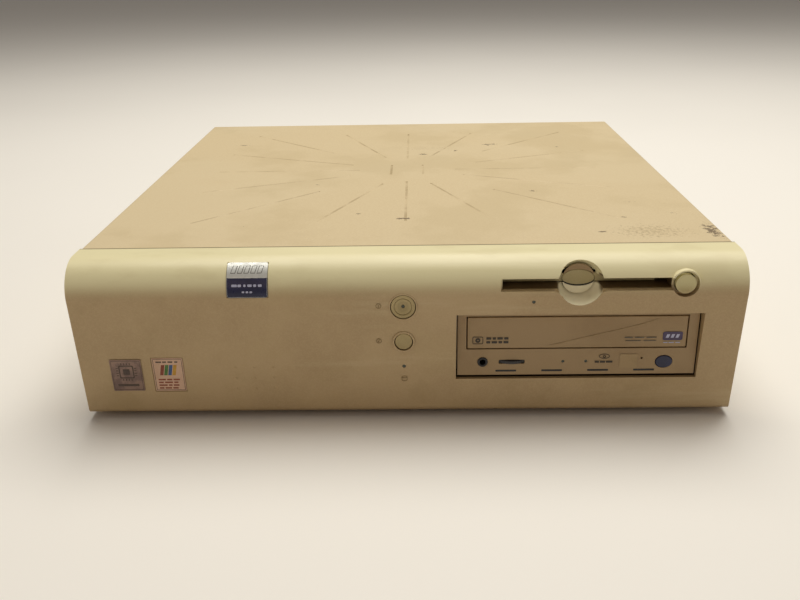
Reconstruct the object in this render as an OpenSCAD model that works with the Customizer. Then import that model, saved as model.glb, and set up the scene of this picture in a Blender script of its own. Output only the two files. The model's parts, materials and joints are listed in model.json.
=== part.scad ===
// Low-profile desktop computer: a moulded nose bezel and a hinged steel hood over a steel pan that
// carries the drives, power supply, main board and card cage.

/* [Body] */
// Overall width
body_w = 412; // [410:1:418]
// Overall depth, from the nose to the rear edge of the hood
body_d = 436; // [436:1:446]
// Overall height, standing on its feet
body_h = 108; // [108:1:114]
// Height of the rubber feet
foot_h = 4; // [3:0.5:5]

/* [Front] */
// How far the foot of the front face sits behind its top
lean = 8; // [5:1:9]
// Radius of the rounded nose
nose_r = 21; // [19:1:22]
// Distance from the front face to the seam with the hood
seam_y = 34; // [34:0.5:35]
// Wall thickness of the moulded bezel
bezel_t = 2.6; // [2.2:0.2:3]

/* [Sheet metal] */
// Thickness of the steel sheet
sheet = 1; // [0.8:0.1:1]
// Width of the pressed rays on the hood
ray_w = 2.4; // [1.6:0.2:3]
// Depth of the pressed rays on the hood
ray_d = 0.35; // [0.2:0.05:0.5]

/* [Controls] */
// Radius of the power button cap
power_r = 7.4; // [6.8:0.1:7.6]
// Radius of the reset button cap
reset_r = 5.3; // [5:0.1:5.6]
// Radius of the diskette eject cap
eject_r = 6.1; // [5.6:0.1:6.2]
// Gap around each cap
cap_gap = 0.5; // [0.3:0.05:0.6]

/* [Hidden] */
$fn = 48;

beige = [0.80, 0.74, 0.58];
cap_beige = [0.82, 0.77, 0.62];
steel = [0.70, 0.71, 0.72];
dark = [0.10, 0.10, 0.11];
board_green = [0.10, 0.32, 0.18];

nose_z = body_h - nose_r;              // height where the nose arc begins
lean_a = atan2(lean, nose_z - foot_h); // tilt of the front face
low_r = 4;                             // radius of the bottom front edge
floor_z = foot_h + sheet;              // top of the pan's floor
wall_y = seam_y + sheet;               // front face of the front wall
rear_y = body_d - 9;                   // front face of the rear panel
hood_y = seam_y + 0.4;                 // front edge of the hood
hood_r = 2.5;                          // bend radius of the hood
gap = 0.4;                             // clearance between sheet parts

// front face features, from the centre line and from the table
button_x = -1;
power_z = foot_h + 75.9;
reset_z = foot_h + 51.7;
disk_light_z = foot_h + 33.9;
slot_z = foot_h + 88.7;
floppy_x = 106.2;
floppy_w = 101.6;
floppy_y = 24;
eject_x = 168.4;
eject_pocket_r = 8;
floppy_light = [78, foot_h + 78.2];
speaker_x = -95.3;
speaker_z = foot_h + 26.3;
badge_x = -95;
badge_w = 25;
badge_top_a = 63;                      // angle up the nose where the badge ends
badge_out = 0.4;                       // how far the badge stands proud
label_z = foot_h + 29;
label_t = 0.3;

// optical drive bay
bay_x = 106.75;
bay_w = 150.5;
bay_low = foot_h + 24.2;
bay_high = foot_h + 69.6;
drive_w = 148.5;
drive_y = 7.5;
drive_low = foot_h + 26;
drive_high = foot_h + 68;
case_w = 146;
case_d = 193;
skin_t = 5;                            // thickness of the drive's own bezel
door_w = 135.6;
door_low = foot_h + 44.4;
door_high = foot_h + 65.4;
control_z = foot_h + 35;
tray_low = foot_h + 49.5;

// rear of the machine
psu_x = [56, 200];
psu_y = 240;
psu_top = foot_h + 88;
cord_x = 154;                          // cables that leave the front of the power supply
cord_y = 250;                          // cables that leave its side
cord_z = foot_h + 36;
floppy_cord_z = foot_h + 81;
floppy_cord_x = 150;
fan_x = 100;
fan_z = foot_h + 45;
fan_r = 38;
inlet_x = 172;
inlet_z = foot_h + 64;
board_x = [-196, 44];
board_y = 205;
board_z = foot_h + 7;
board_screw_ys = [218, 406];
pcb = 1.6;
slot_x = [-100, 16];                   // span of the card openings
slot_zs = [for (i = [0:2]) foot_h + 40 + 20 * i];
port_z = board_z + pcb + 8.5;
ring_z = foot_h + 72.2;                 // underside of the padlock tab
port_y = rear_y + sheet + 6;           // how far the sockets reach behind the panel

notch_r = 14;                          // radius of the finger notch
notch_y = 5;                           // how deep the notch's centre lies
flap_y = 14.6;                         // the flap's hinge
flap_z = slot_z + 4.2;
slot_h = 3.9;                          // half height of the slot at the face
flare_r = 6;                           // fillet between the slot and the notch
flare_x = sqrt(pow(notch_r - 0.3 + flare_r, 2) - pow(slot_h + flare_r, 2));
flare_a = atan2(slot_h + flare_r, flare_x);

// Front surface of the bezel at height z
function face_y(z) = z < nose_z
    ? lean * (nose_z - z) / (nose_z - foot_h)
    : nose_r - sqrt(nose_r * nose_r - (z - nose_z) * (z - nose_z));

// ---- placing helpers ----
module from_front() translate([0, (badge_out - body_d) / 2, 0]) children();
module box(low, high) translate(low) cube(high - low);
module along_x(x0, x1) translate([x0, 0, 0]) rotate([90, 0, 90]) linear_extrude(x1 - x0) children();
module along_y(y0, y1) translate([0, y1, 0]) rotate([90, 0, 0]) linear_extrude(y1 - y0) children();
module rod_x(r, x0, x1, y, z) translate([x0, y, z]) rotate([0, 90, 0]) cylinder(r = r, h = x1 - x0);
module rod_y(r, y0, y1, x, z) translate([x, y1, z]) rotate([90, 0, 0]) cylinder(r = r, h = y1 - y0);
module rod_z(r, z0, z1, x, y) translate([x, y, z0]) cylinder(r = r, h = z1 - z0);
module on_face(x, z) translate([x, face_y(z), z]) rotate([90 + lean_a, 0, 0]) children();
module both_sides() {
    children();
    mirror([1, 0, 0]) children();
}

// Rectangle centred on the origin with corners of radius r
module rounded(w, h, r) {
    square([w - 2 * r, h], center = true);
    square([w, h - 2 * r], center = true);
    for (sx = [-1, 1], sy = [-1, 1]) translate([sx * (w / 2 - r), sy * (h / 2 - r)]) circle(r);
}

module oval(a, b) polygon([for (t = [0:10:350]) [a * cos(t), b * sin(t)]]);

// Rectangle in the x-z plane from corner to corner
module window(x0, x1, z0, z1) translate([x0, z0]) square([x1 - x0, z1 - z0]);

// ---- bezel ----
// Side view of the bezel, inset by t, in y and z
module nose(t, back) {
    low_y = face_y(foot_h + low_r) + low_r;
    difference() {
        union() {
            polygon([
                [low_y, foot_h + t],
                [face_y(foot_h + low_r) + t, foot_h + low_r],
                [t, nose_z],
                [back, nose_z],
                [back, foot_h + t],
            ]);
            translate([low_y, foot_h + low_r]) circle(low_r - t);
            translate([nose_r, nose_z]) circle(nose_r - t);
            translate([nose_r, nose_z]) square([back - nose_r, nose_r - t]);
        }
        translate([back, 0]) square([nose_r * 2, body_h]);
    }
}

// Curved plate on the nose between two radii, up to badge_top_a
module nose_patch(x0, x1, r_in, r_out) translate([x0, nose_r, nose_z])
    rotate([0, 90, 0])
        rotate([0, 0, 270 - badge_top_a])
            rotate_extrude(angle = badge_top_a)
                translate([r_in, 0]) square([r_out - r_in, x1 - x0]);

// Slot outline at the face, flaring into the round finger notch
module slot_outline() translate([floppy_x, slot_z]) {
    translate([-48.3, -slot_h + 1]) square([103.3, 2 * slot_h - 2]);
    translate([-47.3, -slot_h]) square([102.3, 2 * slot_h]);
    for (sz = [-1, 1]) translate([-47.3, sz * (slot_h - 1)]) circle(1);
    for (sx = [0, 1], sz = [0, 1]) mirror([sx, 0]) mirror([0, sz]) difference() {
        polygon([
            [0, 0], [flare_x, 0], [flare_x, slot_h],
            [(notch_r - 0.3) * cos(flare_a), (notch_r - 0.3) * sin(flare_a)],
            [0, (notch_r - 0.3) * sin(flare_a)],
        ]);
        translate([flare_x, slot_h + flare_r]) circle(flare_r);
    }
}

module bezel_sleeves() {
    along_y(0, 20) window(bay_x - bay_w / 2 - 2, bay_x + bay_w / 2 + 2, bay_low - 2, bay_high + 2);
    along_y(0, floppy_y - 0.6) window(55.9, 162, slot_z - 6, slot_z + 7);
    along_y(8, floppy_y - 0.6) window(floppy_x - 12.5, floppy_x + 12.5, slot_z - 8, slot_z);
    translate([floppy_x, notch_y, slot_z]) sphere(15.6);
    rod_y(power_r + 2.4, 0, 14, button_x, power_z);
    rod_y(reset_r + 2.2, 0, 14, button_x, reset_z);
    rod_y(eject_pocket_r + 1.6, 0, 15, eject_x, slot_z);
    rod_y(2.6, 0, 12, button_x, disk_light_z);
    rod_y(2.6, 0, 12, floppy_light.x, floppy_light.y);
}

module bezel_cuts() {
    along_y(-5, 30) window(bay_x - bay_w / 2, bay_x + bay_w / 2, bay_low, bay_high);
    along_y(-6, 3) slot_outline();
    along_x(floppy_x - 47.2, 160.6) polygon([
        [-6, slot_z - 3.4], [3, slot_z - 3.4], [floppy_y, slot_z - 2.4],
        [floppy_y, slot_z + 2.4], [3, slot_z + 3.4], [-6, slot_z + 3.4],
    ]);
    box([floppy_x - 47.2, flap_y - 1.3, slot_z], [floppy_x + 47.2, floppy_y, flap_z + 1.3]);
    translate([floppy_x, notch_y, slot_z]) sphere(notch_r);
    rod_x(0.86, floppy_x - 48.6, floppy_x + 48.6, flap_y, flap_z);
    intersection() {
        rod_x(9.7, floppy_x - 10.8, floppy_x + 10.8, flap_y, flap_z);
        box([floppy_x - 11, flap_y, slot_z - 7], [floppy_x + 11, floppy_y + 1, flap_z]);
    }
    rod_y(power_r + cap_gap, -5, 30, button_x, power_z);
    rod_y(reset_r + cap_gap, -5, 30, button_x, reset_z);
    on_face(-150.2, label_z) translate([-10.3, -12.6, -0.6]) cube([20.6, 25.2, 3]);
    rod_y(eject_r + cap_gap, -5, 30, eject_x, slot_z);
    rod_y(eject_pocket_r, -5, 4.2, eject_x, slot_z);
    rod_y(1.2, -5, 30, button_x, disk_light_z);
    rod_y(1.1, -5, 30, floppy_light.x, floppy_light.y);
    for (x = [-11.9, 0, 11.9], z = [-7.8, 0, 7.8])
        translate([speaker_x + x, face_y(speaker_z + z) - 1.25, speaker_z + z]) sphere(1.6);
    nose_patch(badge_x - badge_w / 2 - 0.2, badge_x + badge_w / 2 + 0.2, nose_r - 0.8, nose_r + 2);
}

module front_bezel() color(beige) from_front() difference() {
    union() {
        difference() {
            along_x(-body_w / 2, body_w / 2) nose(0, seam_y);
            along_x(-body_w / 2 + bezel_t, body_w / 2 - bezel_t) nose(bezel_t, seam_y + 5);
        }
        intersection() {
            along_x(-body_w / 2 + 1, body_w / 2 - 1) nose(1, seam_y);
            bezel_sleeves();
        }
        rod_y(power_r + 1.3, -0.3, 4, button_x, power_z);
        rod_y(reset_r + 1.7, 1.9, 5, button_x, reset_z);
        rod_y(eject_pocket_r + 0.9, 0.3, 4, eject_x, slot_z);
        both_sides() for (z = [foot_h + 20, foot_h + 64])
            box([body_w / 2 - 8, seam_y - 12, z], [body_w / 2 - 1, wall_y, z + 12]);
        for (x = [-120, -30, 20]) box([x - 6, seam_y - 12, foot_h + 1], [x + 6, wall_y, foot_h + 8]);
    }
    bezel_cuts();
}

module badge() color([0.13, 0.14, 0.30]) from_front()
    nose_patch(badge_x - badge_w / 2, badge_x + badge_w / 2, nose_r - 0.8, nose_r + badge_out);

module label(x, w, h, sunk) from_front() on_face(x, label_z)
    translate([-w / 2, -h / 2, -sunk]) cube([w, h, label_t]);
module label_left() color([0.55, 0.50, 0.52]) label(-176.8, 20, 23, 0);
module label_right() color([0.85, 0.78, 0.66]) label(-150.2, 19.6, 24.2, 0.6);

// ---- buttons and lights ----
// Cap with a retaining flange behind the bezel and a stem towards its switch
module cap(r, z, front, stem_end) {
    rod_y(r, front, 14.4, button_x, z);
    rod_y(r + 1.8, 14.4, 15.4, button_x, z);
    rod_y(2, 15.4, stem_end, button_x, z);
}

module power_button() color(cap_beige) from_front() difference() {
    cap(power_r, power_z, 0.3, 17);
    translate([button_x, 1.2 - 24, power_z]) sphere(24);
    difference() {
        rod_y(5.5, -1, 1, button_x, power_z);
        rod_y(5, -2, 2, button_x, power_z);
    }
    rod_y(1.1, -1, 9, button_x, power_z);
}

module power_light() color([0.15, 0.25, 0.12]) from_front() rod_y(1.05, 1.2, 9, button_x, power_z);

module reset_button() color(cap_beige) from_front() difference() {
    cap(reset_r, reset_z, 2.6, 17);
    translate([button_x, 3.3 - 22, reset_z]) sphere(22);
}

// Drive lights behind the bezel and in the optical drive
module front_lights() color([0.20, 0.25, 0.12]) from_front() {
    rod_y(1.15, face_y(disk_light_z) + 0.4, 18, button_x, disk_light_z);
    rod_y(1.05, face_y(floppy_light.y) + 0.4, 18, floppy_light.x, floppy_light.y);
    for (x = light_xs) rod_y(0.95, drive_y + 0.3, drive_y + 12, x, control_z);
}

// Round cap in the bezel, with an arm that reaches the drive's own plunger
module eject_button() color(cap_beige) from_front() {
    difference() {
        rod_y(eject_r, 0.9, 15.6, eject_x, slot_z);
        translate([eject_x, 1.5 - 24, slot_z]) sphere(24);
    }
    along_y(15.6, 17.6) polygon([
        [162.6, slot_z - 8.2], [162.6, slot_z + 6], [176.5, slot_z + 6],
        [176.5, slot_z - 15.2], [143, slot_z - 15.2], [143, slot_z - 8.2],
    ]);
    along_y(17.6, 34) window(145, 151, slot_z - 13.1, slot_z - 10);
}

module control_board() color(board_green) from_front() {
    along_y(26, 26 + pcb) window(button_x - 13, button_x + 13, foot_h + 20, foot_h + 90);
    for (z = [power_z, reset_z]) along_y(20.6, 26) window(button_x - 6, button_x + 6, z - 6, z + 6);
    along_y(20, 26) window(button_x - 3, button_x + 3, disk_light_z - 3, disk_light_z + 3);
    for (z = [foot_h + 26, foot_h + 84]) rod_y(3, 26 + pcb, wall_y, button_x, z);
}

module speaker() color(dark) from_front() {
    y0 = wall_y + sheet;
    difference() {
        rod_y(21, y0, y0 + 6, speaker_x, speaker_z);
        rod_y(18, y0 - 1, y0 + 4.5, speaker_x, speaker_z);
    }
    rod_y(12, y0 + 6, y0 + 10, speaker_x, speaker_z);
}

// ---- sheet metal ----
// Front view of the hood, inset by t, in x and z
module arch(t) {
    half = body_w / 2;
    window(-half + t, half - t, floor_z, body_h - hood_r);
    window(-half + hood_r, half - hood_r, floor_z, body_h - t);
    for (s = [-1, 1]) translate([s * (half - hood_r), body_h - hood_r]) circle(hood_r - t);
}

// One pressed ray of the sunburst: [angle, inner end, outer end] from the middle of the hood
rays = [
    for (i = [0:15])
        let (a = i * 22.5, fold = i % 2 == 1 ? 50 : i % 4 == 0 ? 40 : 95)
            [a, fold, min(158 / max(abs(cos(a)), 0.01), 148 / max(abs(sin(a)), 0.01))]
];
ray_y = (seam_y + body_d) / 2;
button_hole = [405, foot_h + 56];

module ray_section() polygon([[-ray_w / 2, 0.1], [-ray_w / 2, 0], [0, -ray_d], [ray_w / 2, 0], [ray_w / 2, 0.1]]);

module hood_rays() {
    for (r = rays) translate([0, ray_y, body_h]) rotate([0, 0, r[0]])
        along_x(r[1], r[2]) ray_section();
    for (s = [-1, 1]) translate([s * 13.2, ray_y, body_h]) rotate([0, 0, 90])
        along_x(-16, 16) ray_section();
}

module top_cover() color(beige) from_front() difference() {
    union() {
        difference() {
            along_y(hood_y, body_d) arch(0);
            along_y(hood_y - 1, body_d - sheet) arch(sheet);
            along_y(hood_y - 1, body_d + 1) window(-body_w / 2 + 7, body_w / 2 - 7, 0, body_h - 12);
        }
        for (x = [-150, -60, 12, 193]) {
            box([x - 7, hood_y - 6, body_h - 5], [x + 7, hood_y + 2.4, body_h - 3.8]);
            box([x - 7, hood_y + 1.2, body_h - 5], [x + 7, hood_y + 2.4, body_h - sheet + 0.2]);
        }
    }
    hood_rays();
    along_x(-body_w, body_w) translate(button_hole) rounded(22.6, 12.6, 6);
}

module release(side) color(cap_beige) from_front() mirror([side < 0 ? 1 : 0, 0, 0])
    along_x(body_w / 2 - 1.6, body_w / 2) translate(button_hole) rounded(22, 12, 5.7);
module release_left() release(-1);
module release_right() release(1);

module vent_row(x0, x1, y0, y1, step, w) {
    for (x = [x0:step:x1]) box([x, y0, foot_h - 1], [x + w, y1, floor_z + 1]);
}

module base_pan() color(steel) from_front() difference() {
    union() {
        box([-body_w / 2 + sheet + gap, wall_y, foot_h], [body_w / 2 - sheet - gap, rear_y + sheet, floor_z]);
        side = body_w / 2 - sheet - gap;
        both_sides() box([side - sheet, wall_y, foot_h], [side, rear_y - 1, foot_h + 16]);
        for (x = [board_x[0] + 8, -76, board_x[1] - 8], y = board_screw_ys) rod_z(3, floor_z, board_z, x, y);
    }
    vent_row(-90, 10, 60, 90, 10, 4);
    vent_row(-90, 10, 120, 150, 10, 4);
}

module front_wall() color(steel) from_front() difference() {
    along_y(wall_y, wall_y + sheet) window(-body_w / 2 + 3, body_w / 2 - 3, floor_z, body_h - 8);
    along_y(wall_y - 9, wall_y + 9) {
        window(case_x[0] - 5, case_x[1] + 5, drive_low - 3, body_h);
        translate([speaker_x, speaker_z]) circle(17);
        for (i = [0:9]) window(-72 + 5 * i, -69.5 + 5 * i, foot_h + 20, foot_h + 80);
        for (i = [0:5]) window(-190 + 8 * i, -185 + 8 * i, foot_h + 60, foot_h + 85);
    }
}

module drive_cage() color(steel) from_front() {
    y = [wall_y + sheet, 200];
    shelf_z = drive_high + 1.4;
    for (x = [case_x[0] - sheet, case_x[1]]) difference() {
        along_x(x, x + sheet) translate([y[0], floor_z]) square([y[1] - y[0], shelf_z + sheet - floor_z]);
        for (i = [0:3]) rod_x(7, x - 1, x + 2, y[0] + 30 + 34 * i, foot_h + 14);
    }
    difference() {
        box([case_x[0], y[0], shelf_z], [case_x[1], y[1], shelf_z + sheet]);
        for (x = [case_x[0] + 18:30:case_x[1] - 30]) box([x, 64, shelf_z - 1], [x + 20, 156, shelf_z + 2]);
    }
    for (x = [floppy_x - floppy_w / 2 - sheet, floppy_x + floppy_w / 2])
        along_x(x, x + sheet) translate([50, shelf_z + sheet]) square([114, 24]);
}

module rubber_feet() color(dark) from_front()
    for (x = [-180, 180], y = [60, 400]) rod_z(8, 0, foot_h, x, y);

// ---- rear panel and sockets ----
// Trapezoid outline of a D-shaped connector, w wide at its upper edge
module dee(w, h) polygon([[-w / 2, h / 2], [w / 2, h / 2], [w / 2 - 2, -h / 2], [-w / 2 + 2, -h / 2]]);

dee_ports = [[-128, 18], [-83, 41], [-38, 18]]; // serial, printer and monitor: centre, shell width
round_ports = [-189, -173];                     // keyboard and mouse
sound_ports = [10, 23, 36];
usb_x = -152;
network_x = -8;

// Outlines of every socket where it passes through the panel, grown by g
module port_outlines(g) {
    for (x = round_ports) translate([x, port_z]) circle(6.6 + g);
    for (p = dee_ports) translate([p[0], port_z]) dee(p[1] + 2 * g, 9.5 + 2 * g);
    for (x = sound_ports) translate([x, port_z]) circle(4 + g);
    window(usb_x - 7 - g, usb_x + 7 + g, port_z - 7.6 - g, port_z + 7.6 + g);
    window(network_x - 8 - g, network_x + 8 + g, port_z - 7 - g, port_z + 7 + g);
}

module rear_panel() color(steel) from_front() {
    difference() {
        along_y(rear_y, rear_y + sheet) window(-body_w / 2 + 3, body_w / 2 - 3, floor_z, body_h - 3);
        along_y(rear_y - 1, rear_y + 3) {
            window(psu_x[0] + 12, psu_x[1] - 12, foot_h + 5, psu_top - 3);
            window(psu_x[0] + 3, psu_x[1] - 3, foot_h + 17, psu_top - 17);
            port_outlines(0.3);
            for (z = slot_zs) window(slot_x[0], slot_x[1], z - 6.5, z + 6.5);
            for (i = [0:10], k = [0:5]) translate([-190 + 7 * i, foot_h + 44 + 8 * k]) circle(2.2);
            window(32.6, 43.4, ring_z - 0.5, ring_z + 2.1);
        }
    }
    box([32, rear_y - 14, ring_z - 1.1], [44, rear_y, ring_z - 0.1]);
}

module rear_ports() color([0.2, 0.2, 0.22]) from_front() {
    base_z = board_z + pcb;
    for (x = round_ports) {
        difference() {
            union() {
                rod_y(6.6, rear_y - 4, port_y - 3, x, port_z);
                along_y(rear_y - 14, rear_y - 1) window(x - 7, x + 7, base_z, port_z + 7);
            }
            rod_y(4.7, port_y - 7, port_y, x, port_z);
        }
        along_y(port_y - 7, port_y - 4) window(x - 1.4, x + 1.4, port_z - 1.4, port_z + 1.4);
    }
    for (p = dee_ports) {
        along_y(rear_y - 14, rear_y - 1) window(p[0] - p[1] / 2 - 6, p[0] + p[1] / 2 + 6, base_z, port_z + 6);
        along_y(rear_y - 1, port_y) translate([p[0], port_z]) dee(p[1], 9.5);
        for (s = [-1, 1]) rod_y(2.2, rear_y + sheet, port_y, p[0] + s * (p[1] / 2 + 4), port_z);
    }
    for (x = sound_ports) difference() {
        union() {
            rod_y(4, rear_y - 1, port_y - 3, x, port_z);
            along_y(rear_y - 14, rear_y - 1) window(x - 5.5, x + 5.5, base_z, port_z + 5.5);
        }
        rod_y(1.8, rear_y - 12, port_y, x, port_z);
    }
    difference() {
        union() {
            along_y(rear_y - 14, rear_y) window(usb_x - 7, usb_x + 7, base_z, port_z + 7.5);
            along_y(rear_y - 1, port_y - 4) window(usb_x - 7, usb_x + 7, port_z - 7.5, port_z + 7.5);
        }
        for (z = [port_z - 3.9, port_z + 3.7]) {
            along_y(rear_y - 8, port_y) difference() {
                window(usb_x - 6, usb_x + 6, z - 2.5, z + 2.5);
                window(usb_x - 5, usb_x + 5, z + 0.1, z + 1.5);
            }
        }
    }
    difference() {
        union() {
            along_y(rear_y - 14, rear_y) window(network_x - 7.8, network_x + 7.8, base_z, port_z + 6.8);
            along_y(rear_y - 1, port_y - 4) window(network_x - 7.8, network_x + 7.8, port_z - 6.8, port_z + 6.8);
        }
        along_y(rear_y - 11, port_y) {
            window(network_x - 6, network_x + 6, port_z - 5, port_z + 3);
            window(network_x - 3, network_x + 3, port_z, port_z + 5);
        }
    }
}

module slot_covers() color(steel) from_front() for (z = [slot_zs[0], slot_zs[2]])
    along_y(rear_y + sheet, rear_y + 2 * sheet) window(slot_x[0] - 4, slot_x[1] + 8, z - 9, z + 9);

module screws() color([0.75, 0.76, 0.78]) from_front() {
    for (z = slot_zs) rod_y(3, rear_y + 2 * sheet, rear_y + 2 * sheet + 2, slot_x[1] + 3.5, z);
    for (x = [psu_x[0] + 8, psu_x[1] - 8], z = [foot_h + 10, psu_top - 8]) {
        if (x < 100 != z < 50) rod_y(3, rear_y + sheet, rear_y + sheet + 2, x, z);
    }
    for (x = [board_x[0] + 8, -76, board_x[1] - 8], y = board_screw_ys) rod_z(3, top_z, top_z + 2, x, y);
    for (y = [60, 140], x = [case_x[0] - sheet - 2, case_x[1] + sheet]) rod_x(3, x, x + 2, y, drive_low + 10);
    for (y = [80, 140], x = [floppy_x - floppy_w / 2 - sheet - 2, floppy_x + floppy_w / 2 + sheet])
        rod_x(2.4, x, x + 2, y, floppy_z[0] + 12);
}

// Flat steel tab behind the panel, with an eye for a padlock
module padlock_ring() color(steel) from_front() difference() {
    union() {
        box([33, rear_y - 14, ring_z], [43, rear_y + 1.5, ring_z + 1.6]);
        rod_z(5, ring_z, ring_z + 1.6, 38, rear_y + 1.5);
        box([33, rear_y - 14, ring_z], [43, rear_y - 12, ring_z + 6]);
    }
    rod_z(2.2, ring_z - 2, ring_z + 4, 38, rear_y - 2.5);
}

// ---- diskette drive ----
floppy_z = [slot_z - 14.6, slot_z + 10.8];
floppy_d = 146;
hub_y = floppy_y + 74;

module floppy_case() color(steel) from_front() difference() {
    low = [floppy_x - floppy_w / 2, floppy_y, floppy_z[0]];
    high = [floppy_x + floppy_w / 2, floppy_y + floppy_d, floppy_z[1]];
    box(low, high);
    box(low + [1, 1, 1.2], high - [1, 1, 0.8]);
    along_y(floppy_y - 1, floppy_y + 2) {
        window(floppy_x - 47, floppy_x + 47, slot_z - 2.5, slot_z + 2.5);
        window(144.4, 151.6, slot_z - 14, slot_z - 9.4);
    }
    for (x = [floppy_x - 22, floppy_x + 22])
        box([x - 12, floppy_y + 24, floppy_z[1] - 2], [x + 12, floppy_y + 54, floppy_z[1] + 1]);
    box([floppy_x - 24, floppy_y + 92, floppy_z[1] - 2], [floppy_x + 24, floppy_y + 128, floppy_z[1] + 1]);
    along_y(floppy_y + floppy_d - 2, floppy_y + floppy_d + 1) {
        window(floppy_x - 26, floppy_x + 26, floppy_z[0] + 3, floppy_z[0] + 11);
        window(144, 156, floppy_z[0] + 3, floppy_z[0] + 11);
    }
}

module floppy_flap() color([0.45, 0.43, 0.38]) from_front() {
    along_y(flap_y - 0.5, flap_y + 0.5) translate([floppy_x, slot_z]) {
        translate([0, -0.2]) oval(10.3, 4.6);
        for (side = [0, 1]) mirror([side, 0])
            polygon([[8.5, -2.2], [46.6, -2.2], [46.6, 4.2], [10.8, 4.2], [8.5, 1.8]]);
    }
    rod_x(0.8, floppy_x + 10.8, floppy_x + 48.2, flap_y, flap_z);
    rod_x(0.8, floppy_x - 48.2, floppy_x - 10.8, flap_y, flap_z);
}

module floppy_hub() color(steel) from_front() {
    rod_z(22, floppy_z[0] + 2, floppy_z[0] + 4.4, floppy_x, hub_y);
    rod_z(12.5, floppy_z[0] + 4.4, floppy_z[0] + 6.4, floppy_x, hub_y);
    rod_z(2, floppy_z[0] + 6.4, floppy_z[0] + 8.4, floppy_x, hub_y);
    rod_z(1.4, floppy_z[0] + 6.4, floppy_z[0] + 8, floppy_x + 8, hub_y);
}

module floppy_head() color([0.82, 0.80, 0.74]) from_front() {
    y0 = hub_y + 40;
    box([floppy_x - 11, y0, floppy_z[0] + 3], [floppy_x + 11, y0 + 8, floppy_z[0] + 17]);
    box([floppy_x - 6, y0 - 15, floppy_z[0] + 6], [floppy_x + 6, y0, floppy_z[0] + 8.4]);
    box([floppy_x - 6, y0 - 15, floppy_z[0] + 15], [floppy_x + 6, y0, floppy_z[0] + 17]);
    rod_z(2, floppy_z[0] + 8.4, floppy_z[0] + 9.4, floppy_x, y0 - 11);
}

// ---- optical drive ----
case_x = [bay_x - case_w / 2, bay_x + case_w / 2];
case_y = [drive_y + skin_t, drive_y + skin_t + case_d];
disc_y = drive_y + 78;
wheel = [66.6, drive_y + 9.5];
wheel_r = 11;
jack_x = 48.3;
oval_x = 161.6;
light_xs = [98.7, 113];
tray_x = bay_x - 0.3;
screw_x = tray_x + 6;

module optical_case() color(steel) from_front() {
    optical_shell();
    for (s = [-1, 1]) rod_y(1.5, disc_y - 16, case_y[1] - 0.5, tray_x + 16 * s, drive_low + 11);
    rod_z(1.94, drive_low + 1, control_z + 2, wheel.x, wheel.y);
}

module optical_shell() difference() {
    box([case_x[0], case_y[0], drive_low + 0.4], [case_x[1], case_y[1], drive_high - 0.4]);
    box([case_x[0] + 1, case_y[0] - 1, drive_low + 1.4], [case_x[1] - 1, case_y[1] - 1, drive_high - 1.4]);
    along_y(case_y[1] - 2, case_y[1] + 1) {
        window(bay_x - 22, bay_x + 34, drive_low + 5, drive_low + 15);
        window(cord_x - 12, cord_x + 12, cord_z - 5, cord_z + 5);
        window(bay_x - 66, bay_x - 50, drive_low + 5, drive_low + 12);
    }
}

module optical_bezel() color(cap_beige) from_front() difference() {
    along_y(drive_y, drive_y + skin_t) window(bay_x - drive_w / 2, bay_x + drive_w / 2, drive_low, drive_high);
    along_y(drive_y - 1, drive_y + skin_t + 1) {
        window(tray_x - door_w / 2 - 0.7, tray_x + door_w / 2 + 0.7, door_low - 0.7, door_high + 0.7);
        translate([oval_x, control_z - 0.6]) oval(5.5, 4.45);
        for (i = [0:3]) translate([63.1 + 28.85 * i, drive_low + 2.8]) rounded(13.2, 1.4, 0.5);
    }
    along_y(drive_y - 1, drive_y + 2) translate([wheel.x, control_z]) rounded(16.4, 2.8, 0.8);
    wheel_low = [wheel.x - 11.8, drive_y + 1.2, control_z - 1.4];
    box(wheel_low, wheel_low + [23.6, skin_t, 2.8]);
    for (x = light_xs) rod_y(1, drive_y - 1, drive_y + skin_t + 1, x, control_z);
    rod_y(0.7, drive_y - 1, drive_y + skin_t + 1, 147.7, control_z + 1.9);
    rod_y(3.3, drive_y - 1, drive_y + skin_t + 1, jack_x, control_z);
}

module optical_tray() color([0.16, 0.16, 0.17]) from_front() difference() {
    box([tray_x - 64, drive_y + 4, tray_low], [tray_x + 64, drive_y + 158, tray_low + 6]);
    rod_z(60.5, tray_low + 4.4, tray_low + 8, tray_x, disc_y);
    rod_z(41, tray_low + 3, tray_low + 8, tray_x, disc_y);
    rod_z(19, tray_low - 1, tray_low + 8, tray_x, disc_y);
    box([tray_x - 15, disc_y, tray_low - 1], [tray_x + 15, disc_y + 54, tray_low + 8]);
}

module tray_door() color(cap_beige) from_front() {
    along_y(drive_y - 0.1, drive_y + 2.6) window(tray_x - door_w / 2, tray_x + door_w / 2, door_low, door_high);
    along_y(drive_y + 2.6, drive_y + 4) window(tray_x - 50, tray_x + 50, tray_low, tray_low + 6);
}

module optical_eject() color([0.12, 0.13, 0.30]) from_front() {
    along_y(drive_y - 0.6, drive_y + 5.6) translate([oval_x, control_z - 0.6]) oval(5.25, 4.2);
    along_y(drive_y + 5.6, drive_y + 7) translate([oval_x, control_z - 0.6]) oval(6.6, 5.4);
}

module volume_wheel() color(dark) from_front() difference() {
    rod_z(wheel_r, control_z - 1, control_z + 1, wheel.x, wheel.y);
    rod_z(2, control_z - 2, control_z + 2, wheel.x, wheel.y);
}

module headphone_jack() color(dark) from_front() difference() {
    rod_y(3.2, drive_y - 0.2, drive_y + 14, jack_x, control_z);
    rod_y(1.8, drive_y - 1, drive_y + 12.8, jack_x, control_z);
}

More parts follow.
